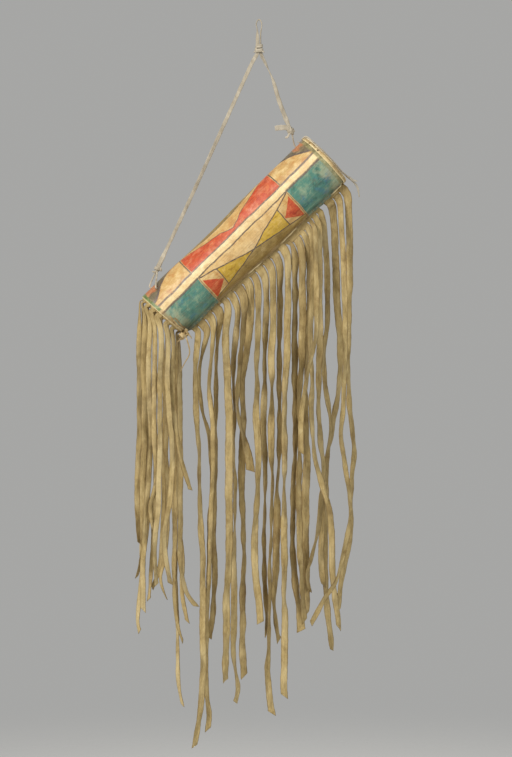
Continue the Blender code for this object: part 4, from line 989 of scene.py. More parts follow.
        # Lower panel: crossed arms with gold in the side fields, small red triangles, blue-green ends
        upper_arm, lower_arm = (y - (x * slope + self.arms_level) for slope in self.arm_slopes)
        graph.lay(lower * centre * step(upper_arm, 0.4, -0.4), self.tan, 0.75, 60.0)
        gold = lower * under(x, self.arms_meet) * step(upper_arm, -0.4, 0.4) * step(lower_arm, 0.4, -0.4)
        graph.lay(gold, self.gold, broad=110.0)
        # The lower field is a darker olive-tan: partly its paint, partly painted shade of the downward side
        graph.lay(lower * centre * step(lower_arm, -0.4, 0.4), self.lower_field_and_shade, broad=60.0)
        wedge = x - self.triangle_tip[0] - abs(y - self.triangle_tip[1]) * self.triangle_slope
        graph.lay(lower * over(wedge, 0.0, 1.0) * under(x, self.triangle_end), self.red, broad=90.0)
        brushed = graph.paint(self.teal, 75.0, 330.0, graph.place(where, (1.0, 1.0, 0.55), (0.0, 0.5, 0.0)))
        brushed = graph.mix(step(noise(where, 30.0, 3.0), 0.52, 0.66) * 0.78, brushed, linear(*self.blue))
        fade = step(noise(where, 62.0, 4.0, 0.7) + step(x, 152.0, 180.0) * 0.28, 0.58, 0.84)
        brushed = graph.mix(fade * 0.62, brushed, linear(*self.faded))
        # Painted shade: the teal darkens to deep green at its lower corner by the base
        corner = step(offset, -150.0, -178.0) * step(level, 110.0, 132.0)
        brushed = graph.mix(corner * 0.88, brushed, linear(*self.deep))
        graph.lay(lower * over(x, self.end_line + 1.8), brushed)

        def line(low_y: float, high_y: float) -> Field:
            """Return the mask of the painted stroke between a centre panel and an end panel."""
            return graph.group(effects.stroke, "Mask", Vector=plane, A=(self.end_line, low_y, 0.0),
                               B=(self.end_line, high_y, 0.0), Half=half, Soft=0.8)

        # Strokes
        crossing = step(upper_arm, -0.5, 0.0) * step(lower_arm, 0.5, 0.0)
        strokes = [centre * band(y, at, half * 1.2) * 0.9 for at in self.stripe]
        strokes += [ends * band(y, at, half * 1.8, 1.5) * 0.92 for at in self.stripe]
        # The bent band beyond the end panels is drawn wide: a painted line, widened as painted fork shadow
        strokes += [centre * band(past_waist, 0.0, half * 0.7), centre * band(over_arch, 0.0, half),
                    ends * band(past_bend, 0.0, 2.6, 1.8), lower * centre * band(upper_arm, 0.0, half),
                    lower * centre * band(lower_arm, 0.0, half),
                    lower * band(x, self.arms_meet, half * 0.8) * crossing, line(self.stroke_ends[0], top),
                    line(low, self.stroke_ends[1]) * 0.6]
        ink = strokes[0]
        for stroke in strokes[1:]:
            ink = graph.math("MAXIMUM", ink, stroke)
        worn = step(noise(where, 330.0, 3.0, 0.7), 0.26, 0.50) * 0.55 + 0.45
        graph.lay(ink * worn, graph.mix(ends, linear(*self.line), linear(*self.end_ink)))

        # Brush streaks along the tube, and fine cracks in the dried paint
        streak = noise(graph.place(uv, self.streaks), 1.0, 4.0, 0.7)
        graph.lay(step(streak, 0.52, 0.74), self.dirt, 0.55, blend="MULTIPLY")
        graph.lay(step(streak, 0.48, 0.28), self.pale, 0.16)
        graph.lay(step(abs(noise(where, 58.0, 5.0, 0.62, 0.6) - 0.5), 0.010, 0.0), self.speck, 0.30)

        # Rims, the seam's edge with its painted shade, and wear
        green = step(station + wobble, 5.0, 3.4) * over(y, -2.0) * under(level, self.base_rim, 4.0)
        graph.lay(green, self.green, broad=130.0)
        graph.lay(step(station, 7.0, 2.0) * over(level, self.base_rim, 4.0), self.rim, 0.65)
        graph.lay(step(station, *self.mouth_rim), self.mouth, 0.85, 150.0)
        # Darker towards the seam, part grime and part painted shade; the narrow line at the seam is painted shade
        graph.lay(step(level, 130.0, 146.0), self.seam, 0.42)
        graph.lay(step(level, 145.0, 148.2), self.seam, 0.75)
        dirt = graph.grime(52.0, 0.28)
        graph.lay(dirt, self.dirt)
        graph.lay(graph.grime(420.0, 0.16), self.speck)
        graph.lay(graph.attribute("raw"), self.raw)
        graph.lay(graph.attribute("inner"), self.inside)
        rough = dirt * 0.5 + (red * 0.07 + (noise(where, 85.0, 3.0) * 0.34 + 0.27))
        return graph.close(rough, graph.grain(0.8, 0.35) + ink * -0.10, 0.0007, 0.55)


@dataclass(frozen=True)
class PlainRawhide:
    """Unpainted rawhide of the lid or the base."""

    name: str
    tones: Tones
    edge: Row
    stain: Row
    roughness: float = 0.36
    # brown of the band on the lid's skirt: painted shade
    band: Row = (150, 124, 80)
    # near black of the lacing hole: painted shade in place of a through hole
    hole: Row = (34, 24, 14)

    def build(self, effects: SharedEffects) -> bpy.types.Material:
        """Build the hide, with stains, a worn pale edge, a band of painted shade and a hole painted dark as shade.

        Args:
            effects: the shared node groups.

        Returns:
            The material.
        """
        graph = FinishGraph(self.name, effects)
        where = graph.where
        graph.colour = graph.paint(self.tones, 75.0, 460.0)
        graph.lay(graph.grime(65.0, 0.6), self.stain)
        # A brown band on the lid's outer skirt is painted shade
        patchy = graph.step(graph.noise(where, 130.0, 4.0, 0.65), 0.34, 0.60) * 0.60 + 0.32
        graph.lay(graph.attribute("band") * patchy, self.band)
        graph.lay(graph.attribute("raw"), self.edge)
        # The lacing hole is painted near black as shade; the skirt is only dented there
        graph.lay(graph.attribute("dark"), self.hole)
        return graph.close(graph.noise(where, 90.0, 3.0) * 0.3 + self.roughness, graph.grain(0.9, 0.5), 0.0008, 0.6)


@dataclass(frozen=True)
class SoftHide:
    """Soft tanned hide, cut into thongs: matt, streaked along its length and uneven from thong to thong."""

    name: str
    tones: Tones
    light: Row
    brown: Row
    streak: float
    stained: float = 0.55
    relief: float = 0.8
    # how much the long edges darken: part wear, part painted shade between thongs
    edge_wear_and_shade: float = 0.0

    def build(self, effects: SharedEffects) -> bpy.types.Material:
        """Build the hide from its tones, its streaks, its stains and its darkened edges, part wear, part painted
        shade.

        Args:
            effects: the shared node groups.

        Returns:
            The material.
        """
        graph = FinishGraph(self.name, effects)
        uv, step = graph.coordinates("UV"), graph.step
        streaks, fibre, creases, folds = (
            graph.noise(graph.place(uv, (*scale, 1.0)), 1.0, detail, rough) for scale, detail, rough in (
                ((14.0, 9.0), 4.0, 0.65), ((30.0, 26.0), 3.0, 0.7), ((160.0, 2.0), 3.0, 0.6),
                ((22.0, 12.0), 2.0, 0.5)))
        graph.colour = graph.paint(self.tones, 95.0, 520.0, graph.place(graph.where, (1.0, 1.0, 0.35)))
        graph.lay(step(streaks, 0.50, 0.72), self.brown, self.streak)
        graph.lay(step(fibre, 0.54, 0.70), self.light, self.streak)
        tone = graph.attribute("tone")
        graph.lay(step(tone, 0.5, 1.0), self.light, 0.55)
        graph.lay(step(tone, 0.5, 0.0), self.brown, 0.34)
        graph.lay(graph.grime(28.0, self.stained), self.brown)
        # Long edges of each thong darken: part worn cut edges, part painted shade between thongs
        side = abs(graph.math("FRACT", graph.part(uv, 1) * 2.0 + 1.0 / 12.0) * 2.0 - 1.0)
        graph.lay(step(side, 0.30, 0.66), self.brown, self.edge_wear_and_shade)
        height = graph.grain(1.0, 1.0) + creases * 0.5 + folds * 1.6
        return graph.close(streaks * 0.2 + 0.72, height, 0.0008, self.relief)


class Finishes:
    """Every material, built once from the shared effects."""

    def __init__(self) -> None:
        """Build the finishes."""
        effects = SharedEffects()
        self.painted = PaintedRawhide().build(effects)
        self.pale = PlainRawhide("pale_rawhide", ((178, 149, 97), (208, 183, 129), (226, 206, 156)), (236, 218, 170),
                                 (132, 100, 56)).build(effects)
        self.brown = PlainRawhide("brown_rawhide", ((112, 84, 46), (146, 112, 64), (178, 144, 92)), (188, 160, 108),
                                  (88, 62, 32), 0.45).build(effects)
        self.fringe = SoftHide("fringe_hide", ((148, 126, 77), (174, 151, 99), (192, 171, 120)), (208, 189, 142),
                               (104, 78, 38), 0.40, 0.45, edge_wear_and_shade=0.55).build(effects)
        self.strap = SoftHide("strap_hide", ((150, 140, 122), (168, 158, 138), (184, 174, 154)), (206, 196, 176),
                              (122, 106, 82), 0.25, 0.25, 0.35).build(effects)
        self.sinew = SoftHide("sinew", ((150, 122, 74), (176, 148, 98), (200, 176, 128)), (216, 196, 150),
                              (96, 70, 38), 0.3).build(effects)


# Tube and fringes


@dataclass
class Assembly:
    """A part of the case that is dressed with the shared finishes."""

    finishes: Finishes


@dataclass
class PaintedTube(Assembly):
    """The rolled rawhide tube with its sewn edges."""

    flange_rise: float = 0.0040
    flange_start: float = 0.010
    flange_low: float = 0.00015
    end_clearance: float = 0.0012
    shoulder: float = 0.0016
    lifted: float = 0.0016
    drawn_out: float = 0.010
    dimple_depth: float = 0.0016
    dimple_reach: float = 0.0030
    rows: int = 300
    turns: int = 132
    holes: tuple[tuple[float, float], ...] = ((0.0150, 4.0), (0.0215, 35.0), (0.3623, 0.0), (0.3700, 0.0))
    lifts: tuple[tuple[float, float], ...] = ((0.150, 0.183), (0.226, 0.266), (0.346, 0.3755))

    def rise(self, station: np.ndarray) -> np.ndarray:
        """Return how far the sewn edges stand out: low at both ends and uneven between."""
        end = TUBE.length - LID_SKIRT - self.end_clearance
        near = smooth_step((station - self.flange_start * 0.5) / self.flange_start)
        far = smooth_step((end - station) / 0.008)
        wave = 0.82 + 0.18 * np.sin(station * 61.0) * np.sin(station * 23.0 + 1.0)
        return self.flange_low + (self.flange_rise - self.flange_low) * np.minimum(near, far) * wave

    def lift(self, station: np.ndarray, side: Side = Side.VIEWER) -> np.ndarray:
        """Return how far a sewn edge stands off the fringe: long shallow humps on the viewer's side."""
        total = np.zeros_like(station)
        for start, end in self.lifts if side is Side.VIEWER else ():
            share = np.clip((station - start) / (end - start), 0.0, 1.0)
            total += np.sin(math.pi * share) ** 0.7 * (share > 0) * (share < 1)
        return total * self.lifted

    def edge(self, station: np.ndarray, side: Side) -> tuple[np.ndarray, np.ndarray]:
        """Return the outer and inner points of one sewn edge, tip first.

        Each point is the seam's place plus a distance out and a distance to the side.

        Args:
            station: the stations.
            side: the side of the seam.

        Returns:
            The outer and the inner points.
        """
        slit, wall = TUBE.slit, TUBE.wall
        rise, lift = self.rise(station), self.lift(station, side)
        rim = 0.00035 * np.sin(station * 410.0) * smooth_step(rise / self.flange_rise)
        outer = [(slit + wall * 0.62 + lift, rise + 0.0003 + rim), (slit + wall * 0.86 + lift, rise - 0.0006),
                 (slit + wall * 0.95 + lift * 0.5, rise * 0.45), (slit + wall + self.shoulder * 0.6, 0.0003)]
        inner = [(slit + wall * 0.1 + lift, rise + 0.0002 + rim), (slit + lift * 0.9, rise - 0.0006),
                 (slit + lift * 0.3, rise * 0.4), (slit, -wall * 0.8)]
        radius = TUBE.radius(station, TUBE.seam_angle)
        start = np.array(TUBE.base) + self.shifted(station, TUBE.seam_angle)[:, None] * TUBE.along
        out, to_side = TUBE.outward(TUBE.seam_angle), TUBE.around(TUBE.seam_angle) * side.value
        return tuple(np.stack([start + out * (radius + up)[:, None]
                               + to_side * (np.zeros_like(station) + aside)[:, None] for aside, up in rows], 1)
                     for rows in (outer, inner))

    def shifted(self, station: np.ndarray, angle: np.ndarray | float) -> np.ndarray:
        """Return stations with the lowest ones drawn out to the aslant lower edge."""
        near, low = self.drawn_out, TUBE.base_edge(angle)
        return np.where(station < near, low + (near - low) * station / near, station)

    def dimple(self, station: np.ndarray, angle: np.ndarray) -> np.ndarray:
        """Return how far the hide is drawn in round each thong hole: a bell round the hole's middle."""
        total = np.zeros(np.broadcast(station, angle).shape)
        for where, degrees in self.holes:
            turn = np.angle(np.exp(1j * (angle - math.radians(degrees)))) * TUBE.base_radius
            total -= self.dimple_depth * np.exp(-((station - where) ** 2 + turn**2) / self.dimple_reach**2)
        return total

    def build(self) -> None:
        """Build the tube: a sheet with thickness whose section is carried along the stations.

        The outer face is the axis point plus outward times the radius; the inner face lies one wall
        below it; both end in the sewn edges.
        """
        station = np.linspace(0.0, TUBE.length, self.rows)
        step = (TUBE.slit + TUBE.wall + self.shoulder) / TUBE.base_radius
        angle = TUBE.seam_angle + step + (2.0 * math.pi - 2.0 * step) * np.linspace(0.0, 1.0, self.turns)
        grid_s, grid_a = np.meshgrid(station, angle, indexing="ij")
        along = self.shifted(grid_s, grid_a)
        fine = 0.00016 * np.sin(grid_a * 23.0 + 5.0 * np.sin(grid_s * 70.0)) * np.sin(grid_s * 190.0 + grid_a * 3.0)
        radius = TUBE.radius(grid_s, grid_a) + self.dimple(grid_s, grid_a) + fine
        first, last = self.edge(station, Side.HIDDEN), self.edge(station, Side.VIEWER)
        outer, inner = (
            np.concatenate([first[face], TUBE.point(along, radius - depth, grid_a), last[face][:, ::-1]], 1)
            for face, depth in enumerate((0.0, TUBE.wall)))
        ends = first[0].shape[1]
        away = np.abs(np.angle(np.exp(1j * (angle + math.radians(10.0))))) / math.pi
        level = np.concatenate([np.full(ends, away[0]), away, np.full(ends, away[-1])])
        raw = np.zeros_like(level)
        raw[[0, 1, -1, -2]] = (0.45, 0.25, 1.0, 0.9)
        # Raw edges show pale only where lifted; elsewhere they keep the seam's dark colour as painted shade
        lifted = 0.04 + 0.96 * np.clip(self.lift(station) / 0.0012, 0.0, 1.0)
        raw_all = lifted[:, None] * np.concatenate([raw, raw[::-1]])
        raw_all[[0, -1]] = 1.0
        columns = len(level)
        points = np.concatenate([outer, inner[:, ::-1]], 1)
        round_uv = np.concatenate([level, level[::-1], level[:1]])
        uv = np.stack(np.broadcast_arrays((station / TUBE.length)[:, None], round_uv[None, :]), -1)
        inside = np.zeros(points.shape[:2])
        inside[1:-1, columns + ends:2 * columns - ends] = 1.0
        patch = Patch(points, uv, values={"raw": raw_all * (1 - inside), "inner": inside})
        PieceBuilder("tube_skin", [patch]).build(self.finishes.painted, "case_tube", slot="painted_rawhide")


@dataclass(frozen=True)
class HangingThong:
    """One thong of a fringe: where it leaves its heading, and how it hangs.

    Each route point is (right, down, seen width) in tracing units; the seen width gives the twist.
    """

    root: np.ndarray
    lead: np.ndarray
    root_width: float
    route: Route
    ease: float
    seed: int
    start_turn: float = 0.0
    hang_turn: float = 0.0
    hidden: float = 0.006
    shade: float = 0.5
    thick: float = 0.0015
    lead_length: float = 0.006
    lane_lead: float = 0.070
    settle: float = 0.075
    narrow: float = 0.036
    tip: float = 0.014
    drift: tuple[float, float] = (0.0006, 0.0010)
    sway: float = 0.16
    ragged: float = 0.045
    thinned: float = 0.12
    cups: tuple[float, float] = (0.10, 0.07)
    tones: tuple[float, float] = (0.20, 0.15)
    root_painted_shade: float = 0.25
    step: float = 0.0026
    section: Section = Section(10, 0.40)

    def path(self) -> np.ndarray:
        """Return rows of x, y, z and twist from inside the heading to the tip."""
        rows = np.array(self.route, float)
        twist = np.arccos(np.clip(rows[1:, 2] / rows[1:, 2].max(), 0.25, 1.0))
        x = self.root[0] + (rows[1:, 0] - rows[0, 0]) * UNIT
        z = self.root[2] - (rows[1:, 1] - rows[0, 1]) * UNIT
        y = self.root[1] + self.ease * smooth_step((self.root[2] - z) / self.lane_lead)
        start = [[*(self.root + self.lead * off), 0.0] for off in (-self.hidden, 0.0, self.lead_length)]
        return smooth_path(np.vstack([start, np.stack([x, y, z, twist], -1)]), self.step)

    def patch(self) -> Patch:
        """Sweep the thong's section: path plus across times half the width plus face times half the thickness.

        The width eases from the heading's to the thong's own, the section turns with the seen twist, the
        faces cup a little and the tip is cut aslant.

        Returns:
            The closed patch.
        """
        draw = np.random.default_rng(self.seed)
        rows = self.path()
        lengths = arc_lengths(rows)
        run = lengths - self.hidden

        def wave(offset: int, *waves: float) -> np.ndarray:
            """Return a wobble of this thong's own."""
            return ripple(lengths, self.seed + offset, waves)

        drift = wave(0, 0.09, 0.16, 0.27) * smooth_step(run / 0.08)
        aside, deep = self.drift
        path = rows[:, :3] + np.stack([drift * aside, drift[::-1] * deep, np.zeros_like(drift)], -1)
        settled = smooth_step(run / self.settle)
        sign = 1.0 if self.hang_turn < 1.0 else -1.0
        loose = self.hang_turn + sign * rows[:, 3] + self.sway * wave(7, 0.05, 0.12)
        across, face = thong_frames(path, self.start_turn + (loose - self.start_turn) * settled)
        full = max(point[2] for point in self.route[1:]) * UNIT
        ragged = 1.0 + self.ragged * wave(3, 0.013, 0.029, 0.071) * smooth_step(run / 0.03)
        width = (self.root_width + (full - self.root_width) * smooth_step(run / self.narrow)) * ragged
        thick = self.thick * (1.0 - self.thinned * wave(5, 0.02, 0.05) * settled)
        (whole, along), (spread, streaky) = self.cups, self.tones
        cup = (draw.uniform(-whole, whole) + along * wave(9, 0.06, 0.11)) * settled
        tone = self.shade + draw.uniform(-spread, spread) + streaky * wave(11, 0.07, 0.19, 0.34)
        # Painted shade: each thong darkens near its heading, in the shade by the tube
        tone = tone - self.root_painted_shade * (1.0 - smooth_step(run / 0.05))
        made = sweep(path, across, face, width, thick, tone, self.seed * 0.7, cup, self.section)
        slant = draw.uniform(0.35, 1.1) * draw.choice([-1.0, 1.0])
        cut = self.section.points()[0] * slant - abs(slant)
        near_tip = smooth_step((lengths - lengths[-1] + self.tip) / self.tip)
        tangent = unit(np.gradient(path, axis=0))
        made.points += tangent[:, None] * (cut[None, :] * (width * near_tip)[:, None] / 2)[..., None]
        return made


@dataclass
class SeamFringe(Assembly):
    """A fringe cut from one strip of hide that is sewn into the tube's long seam."""

    name: str
    thongs: tuple[tuple[float, float, float, Route], ...]
    seed: int
    shade: float = 0.5
    slit: float = 0.0016
    flange: float = 0.0040
    inside: float = 0.0030
    heading: float = 0.0040
    long_heading: float = 0.011
    long_span: tuple[float, float] = (0.600 * TUBE.length, 0.745 * TUBE.length)
    lane: float = 0.0085
    middle_lane: float = 1.5
    ring_step: float = 0.0012

    def heading_out(self, station: np.ndarray) -> np.ndarray:
        """Return how far the uncut strip stands out of the seam: longer over one stretch."""
        low, high = self.long_span
        longer = smooth_step((station - low) / 0.01) * smooth_step((high - station) / 0.01)
        return self.heading + (self.long_heading - self.heading) * longer

    def outer(self, station: np.ndarray | float) -> np.ndarray:
        """Return how far off the axis the uncut strip reaches."""
        return TUBE.radius(station, TUBE.seam_angle) + self.flange + self.heading_out(station)

    def strip(self) -> Patch:
        """Return the uncut strip: a thin rounded sheet swept along the seam."""
        first, last = self.thongs[0][0] * UNIT, (self.thongs[-1][1] + 1) * UNIT
        station = np.arange(first + self.slit / 2, last - self.slit / 2, self.ring_step)
        low = TUBE.radius(station, TUBE.seam_angle) - TUBE.wall - self.inside
        high = self.outer(station) + 0.0004
        reach, through = SHEET.points()
        reach = (reach + 1.0) / 2.0
        reach = low[:, None] + (high - low)[:, None] * reach
        middle = TUBE.point(station[:, None] + 0.0 * reach, reach, TUBE.seam_angle)
        points = middle + TUBE.around(TUBE.seam_angle) * (through * SHEET_HALF)[None, :, None]
        return Patch(points, grid_uv(station, SHEET.corners), values={"tone": self.shade - 0.3})

    def build(self) -> None:
        """Build the strip and its thongs."""
        patches = [self.strip()]
        for index, (start, end, lane, route) in enumerate(self.thongs):
            first, last = start * UNIT + self.slit / 2, (end + 1) * UNIT - self.slit / 2
            roots = [TUBE.point(place, self.outer(place), TUBE.seam_angle) for place in (first, last)]
            patches.append(HangingThong((roots[0] + roots[1]) / 2, TUBE.outward(TUBE.seam_angle), last - first, route,
                                        (lane - self.middle_lane) * self.lane, self.seed + index,
                                        shade=self.shade).patch())
        PieceBuilder(self.name + "_skin", patches).build(self.finishes.fringe, self.name, slot="fringe_hide")


@dataclass
class BaseFringe(Assembly):
    """The fringe strip that is held round the base, between the tube's edge and the dish's rim."""

    root_width: float = 0.0100
    inside: float = 0.006
    out: float = 0.003
    seed: int = 300
    steps: int = 180

    def at(self, angle: np.ndarray, beyond: np.ndarray, half: np.ndarray) -> np.ndarray:
        """Return points on the strip, a distance beyond the tube's edge and off its middle sheet."""
        radius = TUBE.radius(np.zeros_like(angle), angle) - TUBE.wall - TUBE.gap - TUBE.hide / 2 + half
        return TUBE.point(TUBE.base_edge(angle) - beyond, radius, angle)

    def ring(self) -> Patch:
        """Return the uncut strip: a thin rounded band carried round the rim and closed on itself."""
        round_it = np.linspace(0.0, 2.0 * math.pi, self.steps + 1)
        reach, through = SHEET.points()
        beyond = (self.out - self.inside) / 2 + reach * (self.out + self.inside) / 2
        grid = np.broadcast_arrays(round_it[:-1, None], beyond[None, :], (through * SHEET_HALF)[None, :])
        return Patch(self.at(*grid), grid_uv(round_it * TUBE.base_radius, SHEET.corners), True, {"tone": 0.25})

    def build(self) -> None:
        """Build the band and its thongs."""
        patches = [self.ring()]
        for index, (degrees, ease, route) in enumerate(BASE_THONGS):
            angle = math.radians(degrees)
            start = math.atan2(-math.cos(angle), math.sin(angle) * math.sin(TUBE.rise))
            start += 2.0 * math.pi if start < -math.pi / 2 - 0.01 else 0.0
            root = self.at(np.array(angle), np.array(self.out), np.array(0.0))
            patches.append(HangingThong(root, -TUBE.along, self.root_width, route, ease * 0.001, self.seed + index,
                                        start, 0.0 if math.sin(angle) > 0.0 else math.pi, 0.005, 0.62,
                                        settle=0.110).patch())
        PieceBuilder("base_fringe_skin", patches).build(self.finishes.fringe, "base_fringe", slot="fringe_hide")


# Lid and base


def rounded(profile: list[tuple[float, float]], step: float, passes: int) -> np.ndarray:
    """Read a profile off at even steps and round its corners by averaging neighbours.

    Args:
        profile: points of (radius, station).
        step: the distance between points.
        passes: how often neighbours are averaged.

    Returns:
        Rows of (radius, station).
    """
    points = np.array(profile)
    lengths = arc_lengths(points)
    want = np.linspace(0.0, lengths[-1], int(lengths[-1] / step))
    rows = np.stack([np.interp(want, lengths, column) for column in points.T], -1)
    for _ in range(passes):
        rows[1:-1] = (rows[:-2] + 2.0 * rows[1:-1] + rows[2:]) / 4.0
    return rows


def revolved(rows: np.ndarray, columns: int, shift: Callable[[np.ndarray, np.ndarray, np.ndarray], tuple]) -> Patch:
    """Carry a profile round the tube's axis: axis point plus outward times the radius.

    Args:
        rows: the profile as rows of (radius, station).
        columns: how many steps round.
        shift: a function that moves stations and radii for each angle, and gives each point's values.

    Returns:
        The closed patch.
    """
    angle = np.linspace(0.0, 2.0 * math.pi, columns + 1)[None, :-1]
    station, radius, values = shift(rows[:, 1:2] + 0.0 * angle, rows[:, 0:1] + 0.0 * angle, angle)
    points = TUBE.point(station, radius, angle + 0.0 * station)
    return Patch(points, grid_uv(arc_lengths(rows), columns), values=values)


@dataclass
class Lid(Assembly):
    """The shallow rawhide cap with its lacing hole, and the thong over it."""

    wall: float = 0.0022
    clearance: float = 0.0006
    thinned: float = 0.72
    dome: float = 0.0035
    hole_angle: float = math.radians(70)
    hole_radius: float = 0.0017
    columns: int = 288
    strip: float = 0.0030
    lift: float = 0.0008
    lacing: tuple[Row, ...] = ((0.0006, 0.3800, 63), (0.0010, 0.3812, 59), (0.0010, 0.3822, 53),
                               (0.0010, 0.3818, 47), (0.0009, 0.3800, 44), (0.0006, 0.3788, 46))

    @property
    def outside(self) -> float:
        """The skirt's outer radius."""
        return TUBE.mouth_radius - TUBE.draw_in + self.clearance + self.wall * self.thinned

    def profile(self) -> np.ndarray:
        """Return the lid's outline from the middle of its inner face round to its outer."""
        inside = TUBE.mouth_radius - TUBE.draw_in + self.clearance
        outside = self.outside
        edge, floor = TUBE.length - LID_SKIRT, TUBE.length + TUBE.gap
        top, dome = floor + self.wall, self.dome
        return rounded([(0.0003, floor + dome), (inside * 0.35, floor + dome * 0.86),
                        (inside * 0.68, floor + dome * 0.5), (inside, floor), (inside, edge), (outside, edge),
                        (outside, top - 0.0034), (outside - 0.0008, top - 0.0014), (outside - 0.0028, top - 0.0002),
                        (inside * 0.68, top + dome * 0.52), (inside * 0.35, top + dome * 0.87),
                        (0.0003, top + dome)], 0.0006, 3)

    def build_cap(self) -> None:
        """Build the cap, its face a little dented and its skirt uneven as dried hide is."""
        middle, lip = TUBE.length - LID_SKIRT * 0.42, TUBE.length - LID_SKIRT

        def shift(station: np.ndarray, radius: np.ndarray, angle: np.ndarray) -> tuple:
            """Dent the face, wave the skirt, sink the lacing hole and mark the hole and a band for painted shade."""
            flat = smooth_step((station - TUBE.length) / 0.002) * smooth_step(radius / 0.012)
            station = station - 0.0005 * flat * (1.0 + np.cos(3.0 * angle + 60.0 * radius) * np.sin(2.0 * angle))
            low = smooth_step((lip + 0.003 - station) / 0.003)
            station = station + 0.00035 * low * (1.0 + np.sin(5.0 * angle) * np.cos(2.0 * angle + 1.0))
            turn = np.angle(np.exp(1j * (angle - self.hole_angle))) * radius
            # near marks the lacing hole, dented and painted dark as its shade
            near = np.exp(-(((station - middle) ** 2 + turn**2) / self.hole_radius**2) ** 2)
            outside = smooth_step((radius - TUBE.mouth_radius + TUBE.draw_in - self.clearance - 0.0008) / 0.0004)
            # The skirt's outer band, wider just past the hole, is painted shade
            broad = lip + 0.0024 + 0.0018 * np.exp(-((angle - self.hole_angle - 0.35) / 0.55) ** 2)
            band = smooth_step((station - broad) / 0.0010) * outside * (1.0 - 0.5 * near)
            sunk = radius - near * outside * 0.0012 + 0.00015 * np.sin(7.0 * angle + 2.0)
            return station, sunk, {"dark": near * outside, "raw": low * 0.6, "band": band}

        PieceBuilder("lid_skin", [revolved(self.profile(), self.columns, shift)]).build(
            self.finishes.pale, "lid_cap", body=Body.LID, slot="pale_rawhide")

    def route(self, *rows: Row) -> list[np.ndarray]:
        """Return points over the lid: past the mouth by a station, off the axis, and aside to the back."""
        return [TUBE.point(TUBE.length + station, reach, 0.0) + BACK * aside for station, reach, aside in rows]

    def build_thong(self) -> None:
        """Build the thong over the lid's corner and down its face, with its frayed loose ends."""
        skin = self.outside + TUBE.gap + self.lift
        face = TUBE.gap + self.wall + TUBE.gap + self.lift
        dome, strip = self.dome, self.strip
        over = self.route((-LID_SKIRT + 0.0004, skin, 0.0), (-0.002, skin, 0.0), (face - 0.0030, skin - 0.0002, 0.0),
                          (face - 0.0002, skin - 0.0018, 0.0), (face + 0.0012, skin - 0.0060, -0.0006),
                          (face + dome * 0.62, skin * 0.64, -0.0012), (face + dome + 0.0004, skin * 0.30, 0.0004),
                          (face + dome + 0.0005, 0.0, 0.0012), (face + dome + 0.0004, -skin * 0.34, 0.0004),
                          (face + dome * 0.72, -skin * 0.64, -0.0010), (face + 0.0032, -skin * 0.84, -0.0014),
                          (face + 0.0052, -skin - 0.004, -0.002), (face + 0.0090, -skin - 0.0095, -0.003))
        patches = [thong(over, ramp(math.pi / 2, math.pi / 2),
                         ((0.0, strip * 1.3), (0.5, strip), (0.86, strip * 1.7), (1.0, strip * 0.5)),
                         ((0.0, 0.0018), (0.10, 0.0026), (0.9, 0.0026), (1.0, 0.0016)), 0.9, 11)]
        loose = (((face + 0.0024, -skin * 0.80, -0.001), (face + 0.0046, -skin * 0.97, -0.003),
                  (face + 0.0056, -skin - 0.0060, -0.0045), (face + 0.0100, -skin - 0.0120, -0.004)),
                 ((face + 0.0026, -skin * 0.86, 0.001), (face + 0.0048, -skin - 0.008, 0.002),
                  (face + 0.0030, -skin - 0.020, 0.003), (face - 0.0060, -skin - 0.0340, 0.004)))
        patches += [thong(self.route(*rows), ((0.0, 1.2), (0.6, 0.4), (1.0, 0.8)),
                          ((0.0, 0.0034), (0.6, 0.0040), (1.0, 0.0020)), ramp(0.0018, 0.0014), 0.9, seed, cup=0.12)
                    for seed, rows in enumerate(loose, 21)]
        PieceBuilder("lid_thong_skin", patches).build(self.finishes.strap, "lid_thong", body=Body.LID)

    def build_lacing(self) -> None:
        """Build the brown lacing loop that stands on the skirt above its hole."""
        rise, station, degrees = np.array(self.lacing).T
        angle = np.radians(degrees)
        patch = laid_thong(TUBE.point(station, self.outside + rise, angle), TUBE.outward(angle), 0.0021, 0.0011,
                           0.3, 0.0008, 31)
        PieceBuilder("lid_lacing", [patch]).build(self.finishes.sinew, body=Body.LID)

    def build(self) -> None:
        """Build the cap and what is tied to it."""
        self.build_cap()
        self.build_thong()
        self.build_lacing()


@dataclass
class BaseDish(Assembly):
    """The round rawhide dish that closes the base, its rim turned out along the tube's lower edge."""

    wall: float = 0.0022
    rim: float = 0.0075
    depth: float = 0.0045
    set_in: float = 0.0032
    columns: int = 180

    def build(self) -> None:
        """Build the dish from its profile, with a dented floor and a wavy rim."""
        out = TUBE.base_radius - TUBE.wall - TUBE.hide - 2 * TUBE.gap
        floor, wall, edge = self.depth, self.wall, self.depth - self.rim
        rows = rounded([(0.0003, floor + wall), (out * 0.55, floor + wall * 0.9), (out - 0.0015, floor + wall),
                        (out, floor + wall - 0.0015), (out, edge), (out - wall, edge), (out - wall, floor),
                        (out * 0.5, floor - 0.0004), (0.0003, floor)], 0.0007, 2)

        def shift(station: np.ndarray, radius: np.ndarray, angle: np.ndarray) -> tuple:
            """Slant the dish with the tube's edge, and dent it."""
            slant = TUBE.base_slant * np.cos(angle) * radius / TUBE.base_radius
            flat = smooth_step((out - wall - radius) / 0.006) * smooth_step(radius / 0.008)
            dent = 0.0006 * flat * (np.cos(2.0 * angle + 90.0 * radius) + np.sin(3.0 * angle))
            raw = smooth_step((edge + 0.0012 - station) / 0.0012) * 0.8
            return station - slant - TUBE.base_overhang + self.set_in + dent, radius, {"raw": raw}

        PieceBuilder("base_skin", [revolved(rows, self.columns, shift)]).build(
            self.finishes.brown, "base_disc", slot="brown_rawhide")


# Strap, binding, ties and stitches


